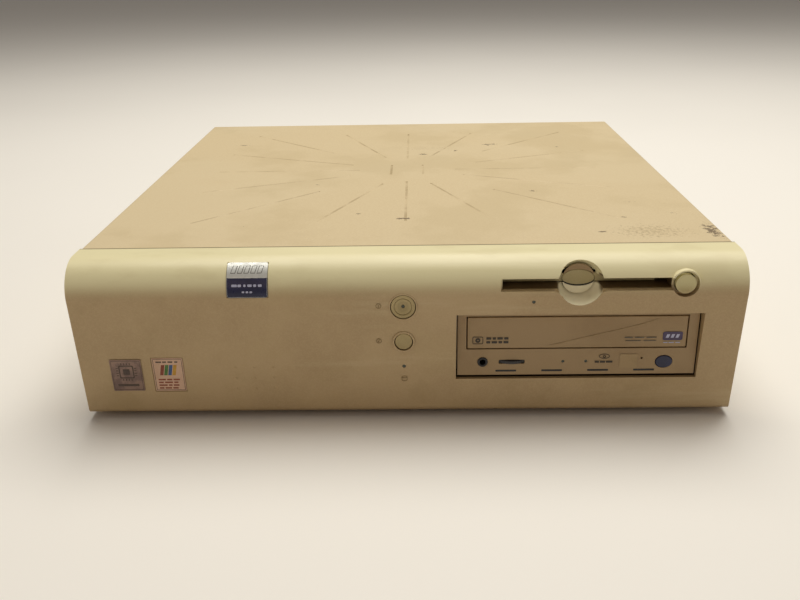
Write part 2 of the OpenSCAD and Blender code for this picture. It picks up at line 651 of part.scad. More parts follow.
module optical_turntable() color(dark) from_front() {
    rod_z(11, drive_low + 4, drive_low + 15, tray_x, disc_y);
    rod_z(14.5, drive_low + 15, drive_low + 18, tray_x, disc_y);
    rod_z(7.3, drive_low + 18, drive_low + 21, tray_x, disc_y);
}

module optical_sled() color([0.20, 0.20, 0.22]) from_front() difference() {
    box([tray_x - 20, disc_y + 17, drive_low + 8], [tray_x + 20, disc_y + 45, drive_low + 16]);
    rod_z(4, drive_low + 15, drive_low + 20, tray_x, disc_y + 24);
    for (s = [-1, 1]) rod_y(1.56, disc_y, disc_y + 60, tray_x + 16 * s, drive_low + 11);
    rod_y(2.6, disc_y, disc_y + 60, screw_x, drive_low + 11);
}

// Lead screw and gear that drive the pickup along its rods
module sled_screw() color([0.75, 0.76, 0.78]) from_front() {
    rod_y(2, disc_y + 16, disc_y + 92, screw_x, drive_low + 11);
    rod_y(6.5, disc_y + 92, disc_y + 95, screw_x, drive_low + 11);
    rod_y(5.5, disc_y + 96, disc_y + 112, screw_x, drive_low + 11);
    rod_y(1.5, disc_y + 95, disc_y + 96, screw_x, drive_low + 11);
}

// ---- hard disk ----
disk_x = [-198, -96.4];
disk_y = [48, 195];
disk_z = foot_h + 8;
spindle = [-147.2, 100];
arm_pivot = [-176, 158];

module disk_base() color([0.35, 0.36, 0.38]) from_front() {
    difference() {
        box([disk_x[0], disk_y[0], disk_z], [disk_x[1], disk_y[1], disk_z + 20]);
        rod_z(49, disk_z + 4, disk_z + 21, spindle.x, spindle.y);
        box([disk_x[0] + 4, 118, disk_z + 4], [disk_x[1] - 4, disk_y[1] - 4, disk_z + 21]);
        box([disk_x[0] + 20, disk_y[1] - 13, disk_z - 1], [disk_x[1] - 16, disk_y[1] + 1, disk_z + 3]);
    }
    both_disk_rails() box([0, disk_y[0] + 6, floor_z], [6, disk_y[1] - 20, disk_z]);
}
module both_disk_rails() for (x = [disk_x[0], disk_x[1] - 6]) translate([x, 0, 0]) children();

module disk_lid() color(steel) from_front() {
    box([disk_x[0], disk_y[0], disk_z + 20], [disk_x[1], disk_y[1], disk_z + 21.4]);
    rod_z(46, disk_z + 21.4, disk_z + 22.2, spindle.x, spindle.y);
    rod_z(14, disk_z + 22.2, disk_z + 23, spindle.x, spindle.y);
    for (x = [disk_x[0] + 6, disk_x[1] - 6], y = [disk_y[0] + 6, 120, disk_y[1] - 6])
        rod_z(2.6, disk_z + 21.4, disk_z + 22.4, x, y);
}

module disk_platters() color([0.82, 0.82, 0.84]) from_front() {
    for (i = [0:1]) rod_z(47.5, disk_z + 8 + 5 * i, disk_z + 9.2 + 5 * i, spindle.x, spindle.y);
    rod_z(13, disk_z + 4.4, disk_z + 17, spindle.x, spindle.y);
}

module disk_arm() color(steel) from_front() {
    rod_z(8, disk_z + 4.4, disk_z + 17.6, arm_pivot.x, arm_pivot.y);
    for (z = [6, 11, 15.8]) translate([arm_pivot.x, arm_pivot.y, disk_z + z]) rotate([0, 0, -62])
        linear_extrude(1) polygon([[0, -6], [40, -1.5], [40, 1.5], [0, 6]]);
    translate([arm_pivot.x, arm_pivot.y, disk_z + 8]) rotate([0, 0, 118])
        box([4, -7, 0], [18, 7, 3]);
}

module disk_board() color(board_green) from_front() {
    box([disk_x[0] + 8, 70, disk_z - 2.4], [disk_x[1] - 8, disk_y[1] - 12, disk_z - 0.8]);
    for (x = [disk_x[0] + 30, disk_x[1] - 30]) rod_z(3, disk_z - 0.8, disk_z, x, 80);
    box([disk_x[0] + 22, disk_y[1] - 12, disk_z - 2.4], [disk_x[1] - 18, disk_y[1] + 2, disk_z + 2.6]);
}

// ---- main board ----
top_z = board_z + pcb;
cpu_y = [250, 390];
cpu_x = -158;
memory_ys = [226, 236];
plug_y = 209.5;                        // middle of the ribbon sockets
floppy_sock = -64;                     // middle of the diskette drive's socket
ide_xs = [-12, -145];                  // middle of each wide ribbon socket
riser_x = 22;

module main_board() color(board_green) from_front()
    box([board_x[0], board_y, board_z], [board_x[1], rear_y - 1, board_z + pcb]);

module board_chips() color(dark) from_front() {
    for (c = [[-100, 300, 27], [-122, 345, 24], [-118, 392, 20], [-40, 320, 28], [0, 372, 24]])
        box([c[0] - c[2] / 2, c[1] - c[2] / 2, top_z], [c[0] + c[2] / 2, c[1] + c[2] / 2, top_z + 3]);
    for (i = [0:3]) box([-64 + 20 * i, 264, top_z], [-50 + 20 * i, 272, top_z + 2.4]);
    for (i = [0:2]) rod_z(5, top_z, top_z + 12, -186, 262 + 14 * i);
    for (i = [0:2]) rod_z(4, top_z, top_z + 11, -138 + 11 * i, 240);
    rod_z(10, top_z, top_z + 3.4, -184, 330);
}

module board_sockets() color([0.13, 0.13, 0.14]) from_front() {
    difference() {
        box([cpu_x - 6, cpu_y[0] - 4, top_z], [cpu_x + 6, cpu_y[1] + 2, top_z + 10]);
        box([cpu_x - 2, cpu_y[0], top_z + 4], [cpu_x + 2, cpu_y[1] - 2, top_z + 11]);
    }
    for (y = concat(memory_ys, memory_ys[1] + 10)) difference() {
        box([-100, y - 3, top_z], [26, y + 3, top_z + 9]);
        box([-97, y - 1.1, top_z + 3], [23, y + 1.1, top_z + 10]);
    }
    difference() {
        box([riser_x - 6, 270, top_z], [riser_x + 6, 396, top_z + 11]);
        box([riser_x - 1.2, 272, top_z + 4], [riser_x + 1.2, 394, top_z + 12]);
    }
    for (x = ide_xs) box([x - 28, plug_y - 3, top_z], [x + 28, plug_y + 3, top_z + 9]);
    box([floppy_sock - 22, plug_y - 3.4, top_z], [floppy_sock + 22, plug_y + 1.6, top_z + 9]);
    box([30, 222, top_z], [40, 262, top_z + 12]);
}

module cpu_cartridge() color([0.12, 0.12, 0.13]) from_front() {
    box([cpu_x - 0.8, cpu_y[0] + 1, top_z + 4.4], [cpu_x + 0.8, cpu_y[1] - 3, top_z + 12]);
    difference() {
        box([cpu_x - 8.5, cpu_y[0], top_z + 12], [cpu_x + 8.5, cpu_y[1], top_z + 74]);
        for (y = [cpu_y[0] + 14:30:cpu_y[1] - 30]) box([cpu_x - 9.5, y, top_z + 40], [cpu_x - 7.5, y + 20, top_z + 66]);
    }
}

module heat_sink() color([0.75, 0.76, 0.78]) from_front() {
    x0 = cpu_x + 8.5;
    box([x0, cpu_y[0] + 2, top_z + 14], [x0 + 5, cpu_y[1] - 2, top_z + 70]);
    for (y = [cpu_y[0] + 4:10:cpu_y[1] - 5]) box([x0 + 5, y, top_z + 14], [x0 + 32, y + 2, top_z + 70]);
}

module memory_modules() color(board_green) from_front() for (y = memory_ys) {
    box([-96, y - 0.65, top_z + 3.2], [22, y + 0.65, top_z + 30]);
    for (i = [0:7]) box([-91 + 14 * i, y - 1.9, top_z + 12], [-81 + 14 * i, y - 0.65, top_z + 28]);
}

module riser_card() color(board_green) from_front() {
    box([riser_x - 0.8, 262, top_z + 14], [riser_x + 0.8, 418, foot_h + 96]);
    box([riser_x - 0.8, 273, top_z + 4.4], [riser_x + 0.8, 393, top_z + 14]);
    for (z = slot_zs) difference() {
        box([riser_x - 13, 284, z - 4.5], [riser_x - 0.8, 372, z + 4.5]);
        box([riser_x - 14, 286, z - 1], [riser_x - 6, 370, z + 1]);
    }
}

module card_cage() color(steel) from_front() {
    x = [slot_x[0] - 7, riser_x + 5];
    y = [256, rear_y];
    difference() {
        along_x(x[0], x[0] + sheet) translate([y[0], foot_h + 32]) square([y[1] - y[0], 66]);
        for (i = [0:2]) along_x(x[0] - 1, x[0] + 2) translate([300 + 42 * i, foot_h + 64]) rounded(28, 40, 4);
    }
    difference() {
        along_y(y[0] - sheet, y[0]) window(x[0], x[1], foot_h + 42, foot_h + 98);
        for (wx = [x[0] + 22:38:x[1] - 30]) along_y(y[0] - 3, y[0] + 3) translate([wx, foot_h + 70]) rounded(26, 40, 4);
    }
    along_x(x[1] - sheet, x[1]) translate([y[0], foot_h + 84]) square([y[1] - y[0], 14]);
}

module expansion_card() color([0.12, 0.34, 0.20]) from_front() {
    z = slot_zs[1] - 0.8;
    box([slot_x[0] + 4, 262, z], [riser_x - 13.4, rear_y - 3, z + pcb]);
    box([riser_x - 13.4, 290, z], [riser_x - 6.4, 366, z + pcb]);
    for (c = [[-60, 330, 26], [-20, 320, 20], [-60, 380, 14]])
        box([c[0] - c[2] / 2, c[1] - c[2] / 2, z + pcb], [c[0] + c[2] / 2, c[1] + c[2] / 2, z + pcb + 3]);
    for (i = [0:2]) rod_z(3, z + pcb, z + pcb + 7, -36 + 12 * i, 396);
    along_y(rear_y + sheet, rear_y + 2 * sheet) window(slot_x[0] - 4, slot_x[1] + 8, slot_zs[1] - 9, slot_zs[1] + 9);
    along_y(rear_y - 12, port_y) translate([-58, slot_zs[1] + 3]) dee(18, 5);
    along_y(rear_y - 3, rear_y + sheet) window(-80, -74, z, z + pcb);
}

// ---- power supply ----
module power_case() color(steel) from_front() difference() {
    box([psu_x[0], psu_y, floor_z], [psu_x[1], rear_y, psu_top]);
    box([psu_x[0] + 1, psu_y + 1, floor_z + 1], [psu_x[1] - 1, rear_y - 1, psu_top - 1]);
    along_y(rear_y - 3, rear_y + 1) {
        translate([fan_x, fan_z]) circle(fan_r);
        translate([inlet_x, inlet_z]) rounded(27.6, 20.6, 2);
        translate([inlet_x, inlet_z - 30]) rounded(13.6, 8.6, 1);
    }
    along_y(psu_y - 1, psu_y + 2) {
        for (i = [0:11]) window(psu_x[0] + 12 + 8 * i, psu_x[0] + 16 + 8 * i, foot_h + 44, foot_h + 70);
        translate([cord_x, cord_z]) circle(6.6);
        translate([floppy_cord_x, floppy_cord_z]) circle(3.4);
    }
    for (y = [psu_y + 42:12:psu_y + 150]) box([psu_x[0] - 1, y, foot_h + 40], [psu_x[0] + 2, y + 6, foot_h + 76]);
    rod_x(5, psu_x[0] - 1, psu_x[0] + 2, cord_y, foot_h + 46);
    rod_x(3.6, psu_x[0] - 1, psu_x[0] + 2, cord_y, foot_h + 62);
}

// Circuit board, coil and heat sinks inside the power supply
module power_board() color([0.62, 0.50, 0.28]) from_front() {
    x = [psu_x[0] + 4, psu_x[1] - 4];
    z = floor_z + 7;
    box([x[0], psu_y + 8, z], [x[1], rear_y - 32, z + pcb]);
    for (px = [x[0] + 5, x[1] - 5], y = [psu_y + 13, rear_y - 38]) rod_z(3, floor_z + 1, z, px, y);
    for (px = [x[0] + 34, x[1] - 40]) box([px, psu_y + 30, z + pcb], [px + 3, psu_y + 120, z + 56]);
    box([x[0] + 52, psu_y + 60, z + pcb], [x[0] + 84, psu_y + 96, z + 36]);
    for (i = [0:1]) rod_z(12, z + pcb, z + 42, x[1] - 20, psu_y + 40 + 30 * i);
    for (i = [0:2]) rod_z(5, z + pcb, z + 24, x[0] + 14, psu_y + 66 + 16 * i);
}

module fan_frame() color(dark) from_front() {
    y = [rear_y - 26, rear_y - 1];
    difference() {
        along_y(y[0], y[1]) translate([fan_x, fan_z]) rounded(80, 80, 4);
        rod_y(fan_r, y[0] - 1, y[1] + 1, fan_x, fan_z);
    }
    rod_y(14, y[0], y[0] + 3, fan_x, fan_z);
    for (a = [45:90:315])
        along_y(y[0], y[0] + 3) translate([fan_x, fan_z]) rotate(a) window(13, fan_r + 0.4, -2, 2);
}

module fan_rotor() color([0.18, 0.18, 0.19]) from_front() translate([fan_x, 0, fan_z]) {
    rod_y(15, rear_y - 22.6, rear_y - 5, 0, 0);
    for (i = [0:6]) rotate([0, i * 360 / 7, 0]) translate([13, rear_y - 13.5, 0]) rotate([52, 0, 0])
        box([0, -1, -9], [23, 1, 9]);
}

// Wire guard of rings and two crossing stays
module fan_guard() color([0.85, 0.86, 0.88]) from_front() translate([fan_x, rear_y + 1.2, fan_z]) rotate([-90, 0, 0]) {
    for (r = [8:9:35]) rotate_extrude() translate([r, 0]) circle(0.9, $fn = 16);
    for (a = [45, 135]) rotate([0, 0, a]) translate([-44, -0.9, 0.8]) cube([88, 1.8, 1.2]);
}

module mains_inlet() color(dark) from_front() {
    y = [rear_y - 20, rear_y];
    difference() {
        union() {
            along_y(y[0], y[1]) translate([inlet_x, inlet_z]) rounded(27, 20, 2);
            along_y(y[1], y[1] + 2.4) translate([inlet_x, inlet_z]) rounded(31, 24, 2);
        }
        along_y(y[0] + 2, y[1] + 3) translate([inlet_x, inlet_z]) rounded(24.4, 16.4, 2);
    }
    for (p = [[-7, -1.5], [0, 2.5], [7, -1.5]]) along_y(y[0] + 2, y[1] - 4)
        translate([inlet_x + p[0], inlet_z + p[1]]) square([2, 4], center = true);
    difference() {
        along_y(rear_y - 11, rear_y - 1) translate([inlet_x, inlet_z - 30]) rounded(18, 12, 1);
        along_y(rear_y - 8.2, rear_y + 1) translate([inlet_x, inlet_z - 30]) rounded(13.6, 8.6, 1);
    }
}

module voltage_switch() color([0.70, 0.10, 0.08]) from_front() {
    along_y(rear_y - 8, rear_y - 2.6) translate([inlet_x - 2.6, inlet_z - 30]) rounded(7.6, 8, 0.8);
    along_y(rear_y - 2.6, rear_y - 0.6) translate([inlet_x - 2.6, inlet_z - 30]) square([2, 6], center = true);
}

// ---- cables ----
ribbon_t = 0.9;
ribbon_top = foot_h + 92;

// Flat ribbon standing in the x-z plane with its outline in x and z
module ribbon(y, outline) along_y(y, y + ribbon_t) polygon(outline);

// Round bundle turning a quarter circle of radius 8 about the origin, from +x round to +y
module elbow(r) rotate_extrude(angle = 90) translate([8, 0]) circle(r, $fn = 24);

module ribbon_cables() color([0.62, 0.62, 0.60]) from_front() {
    w = 50;
    low = ribbon_top - w;
    sock = ide_xs[0];
    far = bay_x + 6;
    y = plug_y - ribbon_t / 2;
    // main board to optical drive, turned by two flat folds
    ribbon(y, [[sock - 25, top_z + 16], [sock + 25, top_z + 16], [sock + 25, low], [sock - 25, ribbon_top]]);
    ribbon(y + ribbon_t, [[sock + 25, low], [sock - 25, ribbon_top], [far + 25, ribbon_top], [far - 25, low]]);
    ribbon(y, [[far - 25, low], [far + 25, ribbon_top], [far + 25, cord_z], [far - 25, cord_z]]);
    box([sock - 27, plug_y - 3, top_z + 9], [sock + 27, plug_y + 3, top_z + 16]);
    box([far - 27, case_y[1], drive_low + 6], [far + 27, plug_y + 2, drive_low + 14]);
    // main board to diskette drive
    fz = floppy_z[0] + 7;
    fy = plug_y - 3.4;
    fx = floppy_sock;
    box([floppy_x - 24, floppy_y + floppy_d - 3, fz - 3], [floppy_x + 24, floppy_y + floppy_d + 4, fz + 3]);
    box([floppy_x - 21, floppy_y + floppy_d + 4, fz - ribbon_t], [floppy_x + 21, fy + ribbon_t, fz]);
    ribbon(fy, [[fx - 21, fz], [floppy_x - 21, fz], [floppy_x + 21, fz], [floppy_x - 21, fz - 42], [fx + 21, fz - 42]]);
    ribbon(fy + ribbon_t, [[fx - 21, fz], [fx + 21, fz - 42], [fx + 21, top_z + 14], [fx - 21, top_z + 14]]);
    box([fx - 22, plug_y - 3.4, top_z + 9], [fx + 22, plug_y + 1.6, top_z + 14]);
    // main board to hard disk, an arch over the gap
    hx = ide_xs[1];
    box([hx - 27, disk_y[1] + 2, disk_z - 2.4], [hx + 27, disk_y[1] + 8, disk_z + 2.6]);
    box([hx - 25, disk_y[1] + 4.6, disk_z + 2.6], [hx + 25, disk_y[1] + 5.5, top_z + 34]);
    box([hx - 25, plug_y + 0.1, top_z + 16], [hx + 25, plug_y + 1, top_z + 34]);
    box([hx - 27, plug_y - 3, top_z + 9], [hx + 27, plug_y + 3, top_z + 16]);
    box([hx - 25, disk_y[1] + 4.6, top_z + 34], [hx + 25, plug_y + 1, top_z + 34 + ribbon_t]);
}

module power_harness() color([0.75, 0.62, 0.15]) from_front() {
    // to the main board
    z = foot_h + 46;
    rod_x(4, 43, psu_x[0] + 6, cord_y, z);
    translate([43, cord_y, z - 8]) rotate([90, 0, 180]) elbow(4);
    rod_z(4, top_z + 18, z - 8, 35, cord_y);
    box([30.5, 222.5, top_z + 12], [39.5, 261.5, top_z + 18]);
    // to the hard disk
    hx = disk_x[1] - 6;
    hz = foot_h + 62;
    rod_x(2.6, hx + 8, psu_x[0] + 6, cord_y, hz);
    translate([hx + 8, cord_y - 8, hz]) rotate([0, 0, 90]) elbow(2.6);
    rod_y(2.6, disk_y[1] + 12, cord_y - 8, hx, hz);
    translate([hx, disk_y[1] + 12, hz - 8]) rotate([90, 0, 270]) elbow(2.6);
    rod_z(2.6, disk_z + 12, hz - 8, hx, disk_y[1] + 4);
    box([hx - 6, disk_y[1], disk_z + 4], [hx + 6, disk_y[1] + 8, disk_z + 12]);
    // to the optical drive and the diskette drive
    rod_y(4, case_y[1] + 10, psu_y + 6, cord_x, cord_z);
    box([cord_x - 11, case_y[1] - 2, cord_z - 4], [cord_x + 11, case_y[1] + 10, cord_z + 4]);
    rod_y(2, floppy_y + floppy_d + 8, psu_y + 6, floppy_cord_x, floppy_cord_z);
    plug_end = floppy_y + floppy_d + 8;
    box([floppy_cord_x - 5, plug_end - 11, floppy_cord_z - 3], [floppy_cord_x + 5, plug_end, floppy_cord_z + 3]);
}

front_bezel();
top_cover();
base_pan();
front_wall();
rear_panel();
drive_cage();
rubber_feet();
badge();
label_left();
label_right();
power_button();
power_light();
reset_button();
front_lights();
eject_button();
control_board();
speaker();
floppy_case();
floppy_flap();
floppy_hub();
floppy_head();
optical_case();
optical_bezel();
optical_tray();
tray_door();
optical_eject();
volume_wheel();
headphone_jack();
optical_turntable();
optical_sled();
sled_screw();
disk_base();
disk_lid();
disk_platters();
disk_arm();
disk_board();
main_board();
board_chips();
board_sockets();
rear_ports();
cpu_cartridge();
heat_sink();
memory_modules();
riser_card();
card_cage();
expansion_card();
slot_covers();
power_case();
power_board();
fan_frame();
fan_rotor();
fan_guard();
mains_inlet();
voltage_switch();
padlock_ring();
release_left();
release_right();
ribbon_cables();
power_harness();
screws();
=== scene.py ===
"""Looks of a low desktop computer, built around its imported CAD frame.

Every length in the pieces is in millimetres, measured from the nose of the bezel (y), the middle of
the case (x) and the table (z), and turned to metres by place(). SUNK is how far a printed mark starts
below the surface it lies on, so that no gap shows under it.
"""

import json
import math
import random

import bmesh
import bpy
from mathutils import Matrix, Vector

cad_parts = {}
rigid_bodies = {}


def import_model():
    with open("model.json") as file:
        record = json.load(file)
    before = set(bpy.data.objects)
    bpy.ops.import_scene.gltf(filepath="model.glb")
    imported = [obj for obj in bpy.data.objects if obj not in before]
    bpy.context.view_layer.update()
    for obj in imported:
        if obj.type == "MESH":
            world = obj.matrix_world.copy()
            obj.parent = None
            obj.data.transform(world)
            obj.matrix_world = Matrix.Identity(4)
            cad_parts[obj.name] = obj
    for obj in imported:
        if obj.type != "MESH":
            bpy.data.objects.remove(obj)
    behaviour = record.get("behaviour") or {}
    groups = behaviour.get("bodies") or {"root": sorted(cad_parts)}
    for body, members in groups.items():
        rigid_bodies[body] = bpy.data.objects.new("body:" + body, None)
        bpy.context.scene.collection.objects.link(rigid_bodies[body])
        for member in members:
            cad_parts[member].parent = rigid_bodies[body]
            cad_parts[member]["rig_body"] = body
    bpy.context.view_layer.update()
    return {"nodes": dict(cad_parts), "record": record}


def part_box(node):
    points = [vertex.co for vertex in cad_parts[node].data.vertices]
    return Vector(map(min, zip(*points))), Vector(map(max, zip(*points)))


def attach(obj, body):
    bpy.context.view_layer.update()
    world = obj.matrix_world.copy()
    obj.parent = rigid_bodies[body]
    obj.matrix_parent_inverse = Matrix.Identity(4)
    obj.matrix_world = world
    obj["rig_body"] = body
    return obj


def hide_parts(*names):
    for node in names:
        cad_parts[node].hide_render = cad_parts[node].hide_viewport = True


bl_info = {
    "name": "Desktop computer looks",
    "version": (1, 0, 0),
    "blender": (4, 5, 0),
    "location": "View3D > Sidebar > Computer",
    "description": "Finishes, printed marks, boards and stage for the desktop computer",
    "category": "Object",
}

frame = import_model()
BODY_OF = {name: thing["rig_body"] for name, thing in frame["nodes"].items()}
SLOT_OF = {row["node"]: row["material_slot"] for row in frame["record"]["subparts"]}

MM = 0.001
NOSE_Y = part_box("front_bezel")[0].y
BODY_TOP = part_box("front_bezel")[1].z / MM
NOSE_RADIUS = 21.0
NOSE_Z = BODY_TOP - NOSE_RADIUS
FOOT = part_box("front_bezel")[0].z / MM
LEAN = 8.0
LEAN_ANGLE = math.atan2(LEAN, NOSE_Z - FOOT)
DRIVE_FACE = 7.5
REAR = (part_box("rear_panel")[1].y - NOSE_Y) / MM
NOTCH = (106.2, 92.5)  # middle of the finger notch, x and z
BADGE_ARC = math.radians(63.0)  # how far round the nose the badge reaches
BOARD_TOP = 12.6
CARD_TOP = 64.8
SLOT_ROWS = (44, 64, 84)  # heights of the riser's slots
PORT_Z, PORT_FACE, JACK_FACE = 21.1, 434.0, 431.0
ROUND_SOCKETS = (-189, -173)
PIN_SOCKETS = ((-128, 18, (5, 4)), (-83, 41, (13, 12)), (-38, 18, (5, 5, 5)))  # x, width, holes in each row
LEG_PITCH = 1.6
SUNK = -0.02
LOOSE = Matrix.Identity(4)  # the frame of a part that a tree repeats
MULTIPLY = {"operation": "MULTIPLY"}
MAXIMUM = {"operation": "MAXIMUM"}
UP, RIGHT, LEFT, BACK, FRONT = (0, 0, 1), (1, 0, 0), (-1, 0, 0), (0, 1, 0), (0, -1, 0)


# ---------------------------------------------------------------- places and outlines

def place(x, y, z):
    """A point given in millimetres from the nose, as metres in the row frame."""
    return Vector((x * MM, NOSE_Y + y * MM, z * MM))


def face_depth(z):
    """How far behind the nose the front face is at height z."""
    if z < NOSE_Z:
        return LEAN * (NOSE_Z - z) / (NOSE_Z - FOOT)
    return NOSE_RADIUS - math.sqrt(max(NOSE_RADIUS ** 2 - (z - NOSE_Z) ** 2, 0.0))


def facing(origin, right, up):
    """A local frame: x to the right, y up, z out of the surface."""
    right, up = Vector(right).normalized(), Vector(up).normalized()
    turn = Matrix((right, up, right.cross(up))).transposed().to_4x4()
    return Matrix.Translation(origin) @ turn


def on_front(x, z):
    """A local frame on the leaning front face or the nose above it."""
    up = (0.0, -math.sin(LEAN_ANGLE), math.cos(LEAN_ANGLE))
    return facing(place(x, face_depth(z), z), (1, 0, 0), up)


def on_drive(x, z, y=DRIVE_FACE):
    """A local frame on an upright face that looks forward."""
    return facing(place(x, y, z), (1, 0, 0), (0, 0, 1))


def on_rear(x, z, y=REAR):
    """A local frame on an upright face that looks back; its x runs the other way."""
    return facing(place(x, y, z), (-1, 0, 0), (0, 0, 1))


def on_top(x, y, z):
    """A local frame on a level face that looks up."""
    return facing(place(x, y, z), (1, 0, 0), (0, 1, 0))


def rounded(width, height, radius=0.0, x=0.0, y=0.0, steps=5):
    """Outline of a rounded rectangle, anticlockwise."""
    if radius <= 0:
        return [(x + sx * width / 2, y + sy * height / 2) for sx, sy in ((-1, -1), (1, -1), (1, 1), (-1, 1))]
    points = []
    for quarter, (sx, sy) in enumerate(((1, 1), (-1, 1), (-1, -1), (1, -1))):
        cx, cy = x + sx * (width / 2 - radius), y + sy * (height / 2 - radius)
        for step in range(steps + 1):
            angle = (quarter + step / steps) * math.pi / 2
            points.append((cx + radius * math.cos(angle), cy + radius * math.sin(angle)))
    return points


def circle(radius, x=0.0, y=0.0, steps=32, squash=1.0):
    """Outline of a circle, or of an ellipse when squashed."""
    return [(x + radius * math.cos(math.tau * i / steps),
             y + squash * radius * math.sin(math.tau * i / steps))
            for i in range(steps)]


def slanted(width, height, slant, x=0.0, y=0.0):
    """Outline of a bar whose upper edge is shifted to the right."""
    return [(x - width / 2 - slant / 2, y - height / 2), (x + width / 2 - slant / 2, y - height / 2),
            (x + width / 2 + slant / 2, y + height / 2), (x - width / 2 + slant / 2, y + height / 2)]


class Shapes:
    """Closed solids gathered into one mesh, drawn in millimetres on a local frame."""

    def __init__(self, where=None, bend=None):
        self.mesh = bmesh.new()
        self.where = where or Matrix.Translation(place(0, 0, 0))
        self.bend = bend

    def point(self, x, y, z):
        """A corner at that place of the local frame, or where bend puts it."""
        if self.bend:
            return self.mesh.verts.new(self.bend(x, y, z))
        return self.mesh.verts.new(self.where @ Vector((x * MM, y * MM, z * MM)))

    def skin(self, rows, ends=True):
        """Faces between loops of corners that follow one another, closed at both ends if wanted."""
        for a, b in zip(rows, rows[1:]):
            for i in range(len(a)):
                j = (i + 1) % len(a)
                self.mesh.faces.new((a[i], a[j], b[j], b[i]))
        if ends:
            self.mesh.faces.new(list(reversed(rows[0])))
            self.mesh.faces.new(rows[-1])
        return self

    def bars(self, widths, tall, corner, x, y, low, high, steps=5):
        """Bars side by side, 0.9 mm apart, where a line of print would be."""
        for width in widths:
            self.prism(rounded(width, tall, corner, x + width / 2, y, steps), low, high)
            x += width + 0.9

    def prism(self, outline, low, high, taper=0.0):
        """A flat solid of that outline; taper draws the upper face in."""
        cx = sum(p[0] for p in outline) / len(outline)
        cy = sum(p[1] for p in outline) / len(outline)
        reach = max(abs(p[0] - cx) + abs(p[1] - cy) for p in outline)
        shrink = 1 - taper / reach
        base = [self.point(x, y, low) for x, y in outline]
        top = [self.point(cx + (x - cx) * shrink, cy + (y - cy) * shrink, high) for x, y in outline]
        self.mesh.faces.new(list(reversed(base)))
        self.mesh.faces.new(top)
        for i in range(len(outline)):
            j = (i + 1) % len(outline)
            self.mesh.faces.new((base[i], base[j], top[j], top[i]))
        return self

    def ring(self, outer, inner, low, high):
        """A flat solid between two outlines with the same number of points."""
        rows = [[self.point(x, y, z) for x, y in line] for line, z in
                ((outer, low), (outer, high), (inner, high), (inner, low))]
        return self.skin(rows + rows[:1], False)

    def lathe(self, profile, x=0.0, y=0.0, steps=32):
        """A turned solid about the local z axis; the profile runs from the axis out and back to it."""
        rows = []
        for radius, z in profile:
            if radius <= 1e-6:
                rows.append([self.point(x, y, z)])
            else:
                rows.append([self.point(x + radius * math.cos(math.tau * i / steps),
                                        y + radius * math.sin(math.tau * i / steps),
                                        z) for i in range(steps)])
        for a, b in zip(rows, rows[1:]):
            for i in range(steps):
                j = (i + 1) % steps
                corners = [a[i % len(a)], a[j % len(a)], b[j % len(b)], b[i % len(b)]]
                unique = list(dict.fromkeys(corners))
                if len(unique) > 2:
                    self.mesh.faces.new(unique)
        return self

    def tube(self, path, radius, steps=8):
        """A round bar along a path of points, closed at its ends."""
        points = [Vector(p) for p in path]
        rows = []
        side = None
        for i, p in enumerate(points):
            ahead = (points[min(i + 1, len(points) - 1)] - points[max(i - 1, 0)]).normalized()
            if side is None:
                side = ahead.orthogonal().normalized()
            side = (side - ahead * side.dot(ahead)).normalized()
            other = ahead.cross(side)
            turns = [math.tau * k / steps for k in range(steps)]
            rows.append([self.point(*(p + (side * math.cos(a) + other * math.sin(a)) * radius))
                         for a in turns])
        return self.skin(rows)

    def piece(self, name, finish, body, slot, bevel=0.0, smooth=35.0, stands_for=()):
        """The finished object: normals outwards, corners rounded, riding on its body."""
        bmesh.ops.recalc_face_normals(self.mesh, faces=self.mesh.faces)
        data = bpy.data.meshes.new(name)
        self.mesh.to_mesh(data)
        self.mesh.free()
        thing = bpy.data.objects.new(name, data)
        bpy.context.scene.collection.objects.link(thing)
        return settle(thing, finish, body, bevel, smooth, stands_for)


def settle(thing, finish, body, bevel=0.0, smooth=35.0, stands_for=()):
    """Gives a mesh object its rounded corners and material, and puts it on its body."""
    if bevel:
        corner = thing.modifiers.new("Rounded corners", "BEVEL")
        corner.width = bevel * MM
        corner.segments = 2
        corner.limit_method = "ANGLE"
        corner.angle_limit = math.radians(smooth)
        corner.use_clamp_overlap = True
        even = thing.modifiers.new("Even shading", "WEIGHTED_NORMAL")
        even.keep_sharp = True
        shade(thing.data, 180.0)
        bake_modifiers(thing)
    else:
        shade(thing.data, smooth)
    thing.data.materials.clear()
    thing.data.materials.append(FINISHES[finish])
    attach(thing, body)
    if stands_for:
        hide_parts(*stands_for)
    return thing


def shade(data, angle):
    """Smooth faces, with a crease wherever two meet at more than this angle."""
    mesh = bmesh.new()
    mesh.from_mesh(data)
    for face in mesh.faces:
        face.smooth = True
    for edge in mesh.edges:
        edge.smooth = not (len(edge.link_faces) == 2 and edge.calc_face_angle(0.0) > math.radians(angle))
    mesh.to_mesh(data)
    mesh.free()


def bake_modifiers(thing):
    """Replaces an object's mesh by what its modifiers make of it."""
    graph = bpy.context.evaluated_depsgraph_get()
    graph.update()
    data = bpy.data.meshes.new_from_object(thing.evaluated_get(graph), preserve_all_data_layers=True,
                                           depsgraph=graph)
    thing.modifiers.clear()
    thing.data = data


def softened(name, width, finish, smooth=30.0):
    """A copy of a CAD node with its corners rounded as moulding or bending leaves them."""
    data = frame["nodes"][name].data.copy()
    mesh = bmesh.new()
    mesh.from_mesh(data)
    bmesh.ops.remove_doubles(mesh, verts=mesh.verts, dist=2e-6)
    bmesh.ops.dissolve_limit(mesh, angle_limit=math.radians(0.5), verts=mesh.verts, edges=mesh.edges)
    mesh.to_mesh(data)
    mesh.free()
    thing = bpy.data.objects.new(name + "_finished", data)
    bpy.context.scene.collection.objects.link(thing)
    return settle(thing, finish, BODY_OF[name], width, smooth, (name,))


